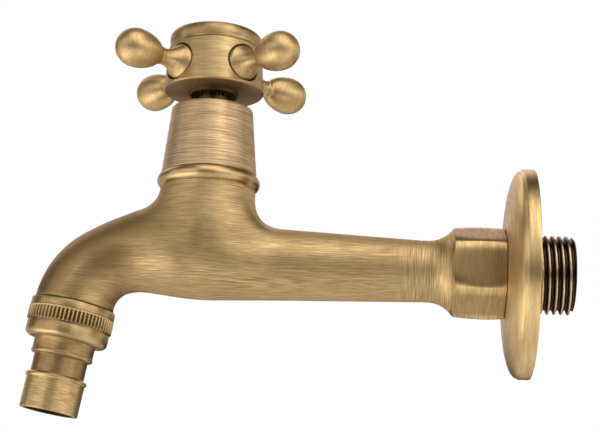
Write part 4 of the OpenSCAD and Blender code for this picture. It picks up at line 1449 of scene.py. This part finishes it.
# Dark cards that only reflections show: first and last azimuth, first and last elevation
CARDS = {
    "card_front": (-144, -36, -20, 5),
    "card_camera": (-108, -72, 5, 30),
    "card_left": (157, 248, 30, 58),
    "card_above": (-30, 210, 58, 88),
    "card_right": (-22, 67, 30, 58),
    "card_left_low": (144, 180, 5, 30),
    "card_back_low": (36, 108, -20, 5),
}
CARD_DISTANCE = 1.1
CARD_CELLS = 12
FLOOR_SIZE = 12
SENSOR_WIDTH = 36.0
CLIP_START = 0.01


def direction(azimuth, elevation):
    """A unit vector from two angles in degrees."""
    a, e = math.radians(azimuth), math.radians(elevation)
    return Vector((math.cos(a) * math.cos(e), math.sin(a) * math.cos(e), math.sin(e)))


def soft_lamp(name, azimuth, elevation, distance, width, height, radiance):
    """A soft box that looks at the tap and stays out of the camera's sight."""
    lamp = bpy.data.lights.new(name, "AREA")
    lamp.shape = "RECTANGLE"
    lamp.size, lamp.size_y = width, height
    lamp.energy = math.pi * width * height * radiance * bpy.context.scene.tap_stage.light_level
    holder = linked(name, lamp)
    ahead = direction(azimuth, elevation)
    holder.location = MIDDLE + ahead * distance
    holder.rotation_euler = (-ahead).to_track_quat("-Z", "Y").to_euler()
    holder.visible_camera = False


def dark_card(name, material, first, last, low, high):
    """A curved dark card, part of a sphere round the tap, as a backdrop for reflections."""
    steps = np.linspace(0, 1, CARD_CELLS + 1)
    verts = [
        (MIDDLE + direction(first + (last - first) * i, low + (high - low) * j) * CARD_DISTANCE) / MM
        for j in steps for i in steps
    ]
    card = new_piece(name, verts, cells_of(np.arange(len(verts)).reshape(len(steps), -1)))
    card.data.materials.append(material)
    for kind in ("camera", "diffuse", "shadow", "transmission"):
        setattr(card, "visible_" + kind, False)


def matt(name, colour, roughness):
    """A plain matt material of the studio."""
    material, n, shader = new_material(name)
    shade(n, shader, Base_Color=colour, Roughness=roughness)
    return material


def make_surround(scene, stage):
    """The pale floor, the even white world, the lamps and the cards."""
    bpy.ops.mesh.primitive_plane_add(
        size=FLOOR_SIZE, location=(0, 0, BODY_LOW[2] * MM - stage.floor_drop))
    floor = bpy.context.object
    floor.name = "floor"
    floor.data.materials.append(matt("pale floor", colours().floor, 0.9))
    world = bpy.data.worlds.new("studio")
    world.use_nodes = True
    scene.world = world
    sky = world.node_tree.nodes["Background"].inputs
    sky["Color"].default_value = (1, 1, 1, 1)
    sky["Strength"].default_value = 1.0
    for name, values in LAMPS.items():
        soft_lamp(name, *values)
    black = matt("black card", (0.01, 0.01, 0.01), 1.0)
    for name, values in CARDS.items():
        dark_card(name, black, *values)


def make_camera(scene, stage):
    """The camera at the photograph's angle."""
    camera = bpy.data.cameras.new("camera")
    camera.sensor_width, camera.lens, camera.clip_start = SENSOR_WIDTH, stage.lens, CLIP_START
    yaw, pitch, roll = stage.camera_yaw, stage.camera_pitch, stage.camera_roll
    ahead = direction(math.degrees(yaw) + 90, math.degrees(pitch))
    side = Vector((math.cos(yaw), math.sin(yaw), 0))
    up = side.cross(ahead)
    right = side * math.cos(roll) + up * math.sin(roll)
    up = up * math.cos(roll) - side * math.sin(roll)
    turn = Matrix((right, up, -ahead)).transposed().to_4x4()
    scene.camera = linked("camera", camera)
    scene.camera.matrix_world = Matrix.Translation(Vector(stage.camera_place)) @ turn
    scene.view_settings.view_transform = "Standard"


# Operators


class TAP_OT_stage(bpy.types.Operator):
    """Make the floor, the lamps, the world, the cards and the camera"""

    bl_idname = "tap.stage"
    bl_label = "Stage"

    def execute(self, context):
        make_surround(context.scene, context.scene.tap_stage)
        make_camera(context.scene, context.scene.tap_stage)
        return {"FINISHED"}


class TAP_OT_casting(bpy.types.Operator):
    """Model the cast body: arm, neck, spout, collar and threads"""

    bl_idname = "tap.casting"
    bl_label = "Casting"

    def execute(self, context):
        make_casting(finish("brushed brass"))
        make_collar(finish("turned brass of the collar"))
        make_neck_rim(finish("brushed brass"))
        make_inlet(finish("machined thread"))
        make_spigot(finish("turned brass of the outlet"))
        return {"FINISHED"}


class TAP_OT_flange(bpy.types.Operator):
    """Model the domed wall flange"""

    bl_idname = "tap.flange"
    bl_label = "Wall flange"

    def execute(self, context):
        make_flange(finish("turned brass of the flange"))
        return {"FINISHED"}


class TAP_OT_bonnet(bpy.types.Operator):
    """Model the bead and the bonnet"""

    bl_idname = "tap.bonnet"
    bl_label = "Bead and bonnet"

    def execute(self, context):
        make_bead(finish("bright bead brass"))
        make_bonnet(finish("coarsely turned brass"))
        return {"FINISHED"}


class TAP_OT_handle(bpy.types.Operator):
    """Model the hub, the cap and the four spokes of the cross handle"""

    bl_idname = "tap.handle"
    bl_label = "Cross handle"

    def execute(self, context):
        make_hub(finish("turned brass of the hub"))
        make_cap(finish("turned brass of the cap"))
        make_spokes(finish("turned brass of the spokes"))
        return {"FINISHED"}


class TAP_OT_tail(bpy.types.Operator):
    """Model the knurled union nut and the hose tail"""

    bl_idname = "tap.tail"
    bl_label = "Union nut and tail"

    def execute(self, context):
        make_nut(finish("turned brass of the nut"), finish("fluted brass"))
        make_tail(finish("turned brass of the tail"), finish("dull bore brass with painted shade"))
        return {"FINISHED"}


class TAP_OT_inner(bpy.types.Operator):
    """Finish the CAD pieces whose shape is kept: the hub's core and the valve"""

    bl_idname = "tap.inner"
    bl_label = "Core and valve finishes"

    def execute(self, context):
        for name, nodes in INNER_FINISH.items():
            for node in nodes:
                dress(frame["nodes"][node], finish(name))
        return {"FINISHED"}


STEPS = (
    TAP_OT_stage, TAP_OT_casting, TAP_OT_flange, TAP_OT_bonnet, TAP_OT_handle, TAP_OT_tail,
    TAP_OT_inner,
)


class TAP_PT_panel(bpy.types.Panel):
    """Lists the settings and the steps that dress the tap"""

    bl_idname = "TAP_PT_panel"
    bl_label = "Brass bib tap"
    bl_space_type = "VIEW_3D"
    bl_region_type = "UI"
    bl_category = "Tap"

    def draw(self, context):
        for group in (context.scene.tap_sizes, context.scene.tap_colours, context.scene.tap_stage):
            box = self.layout.box()
            for key in group.__annotations__:
                box.prop(group, key)
        for step in STEPS:
            self.layout.operator(step.bl_idname)


SETTINGS = {"tap_sizes": TapSizes, "tap_colours": TapColours, "tap_stage": TapStage}


def register():
    for name, group in SETTINGS.items():
        bpy.utils.register_class(group)
        setattr(bpy.types.Scene, name, PointerProperty(type=group))
    for step in (*STEPS, TAP_PT_panel):
        bpy.utils.register_class(step)


def unregister():
    for step in reversed((*STEPS, TAP_PT_panel)):
        bpy.utils.unregister_class(step)
    for name, group in SETTINGS.items():
        delattr(bpy.types.Scene, name)
        bpy.utils.unregister_class(group)


def main():
    register()
    bpy.ops.tap.stage()
    bpy.ops.tap.casting()
    bpy.ops.tap.flange()
    bpy.ops.tap.bonnet()
    bpy.ops.tap.handle()
    bpy.ops.tap.tail()
    bpy.ops.tap.inner()


if __name__ == "__main__":
    main()
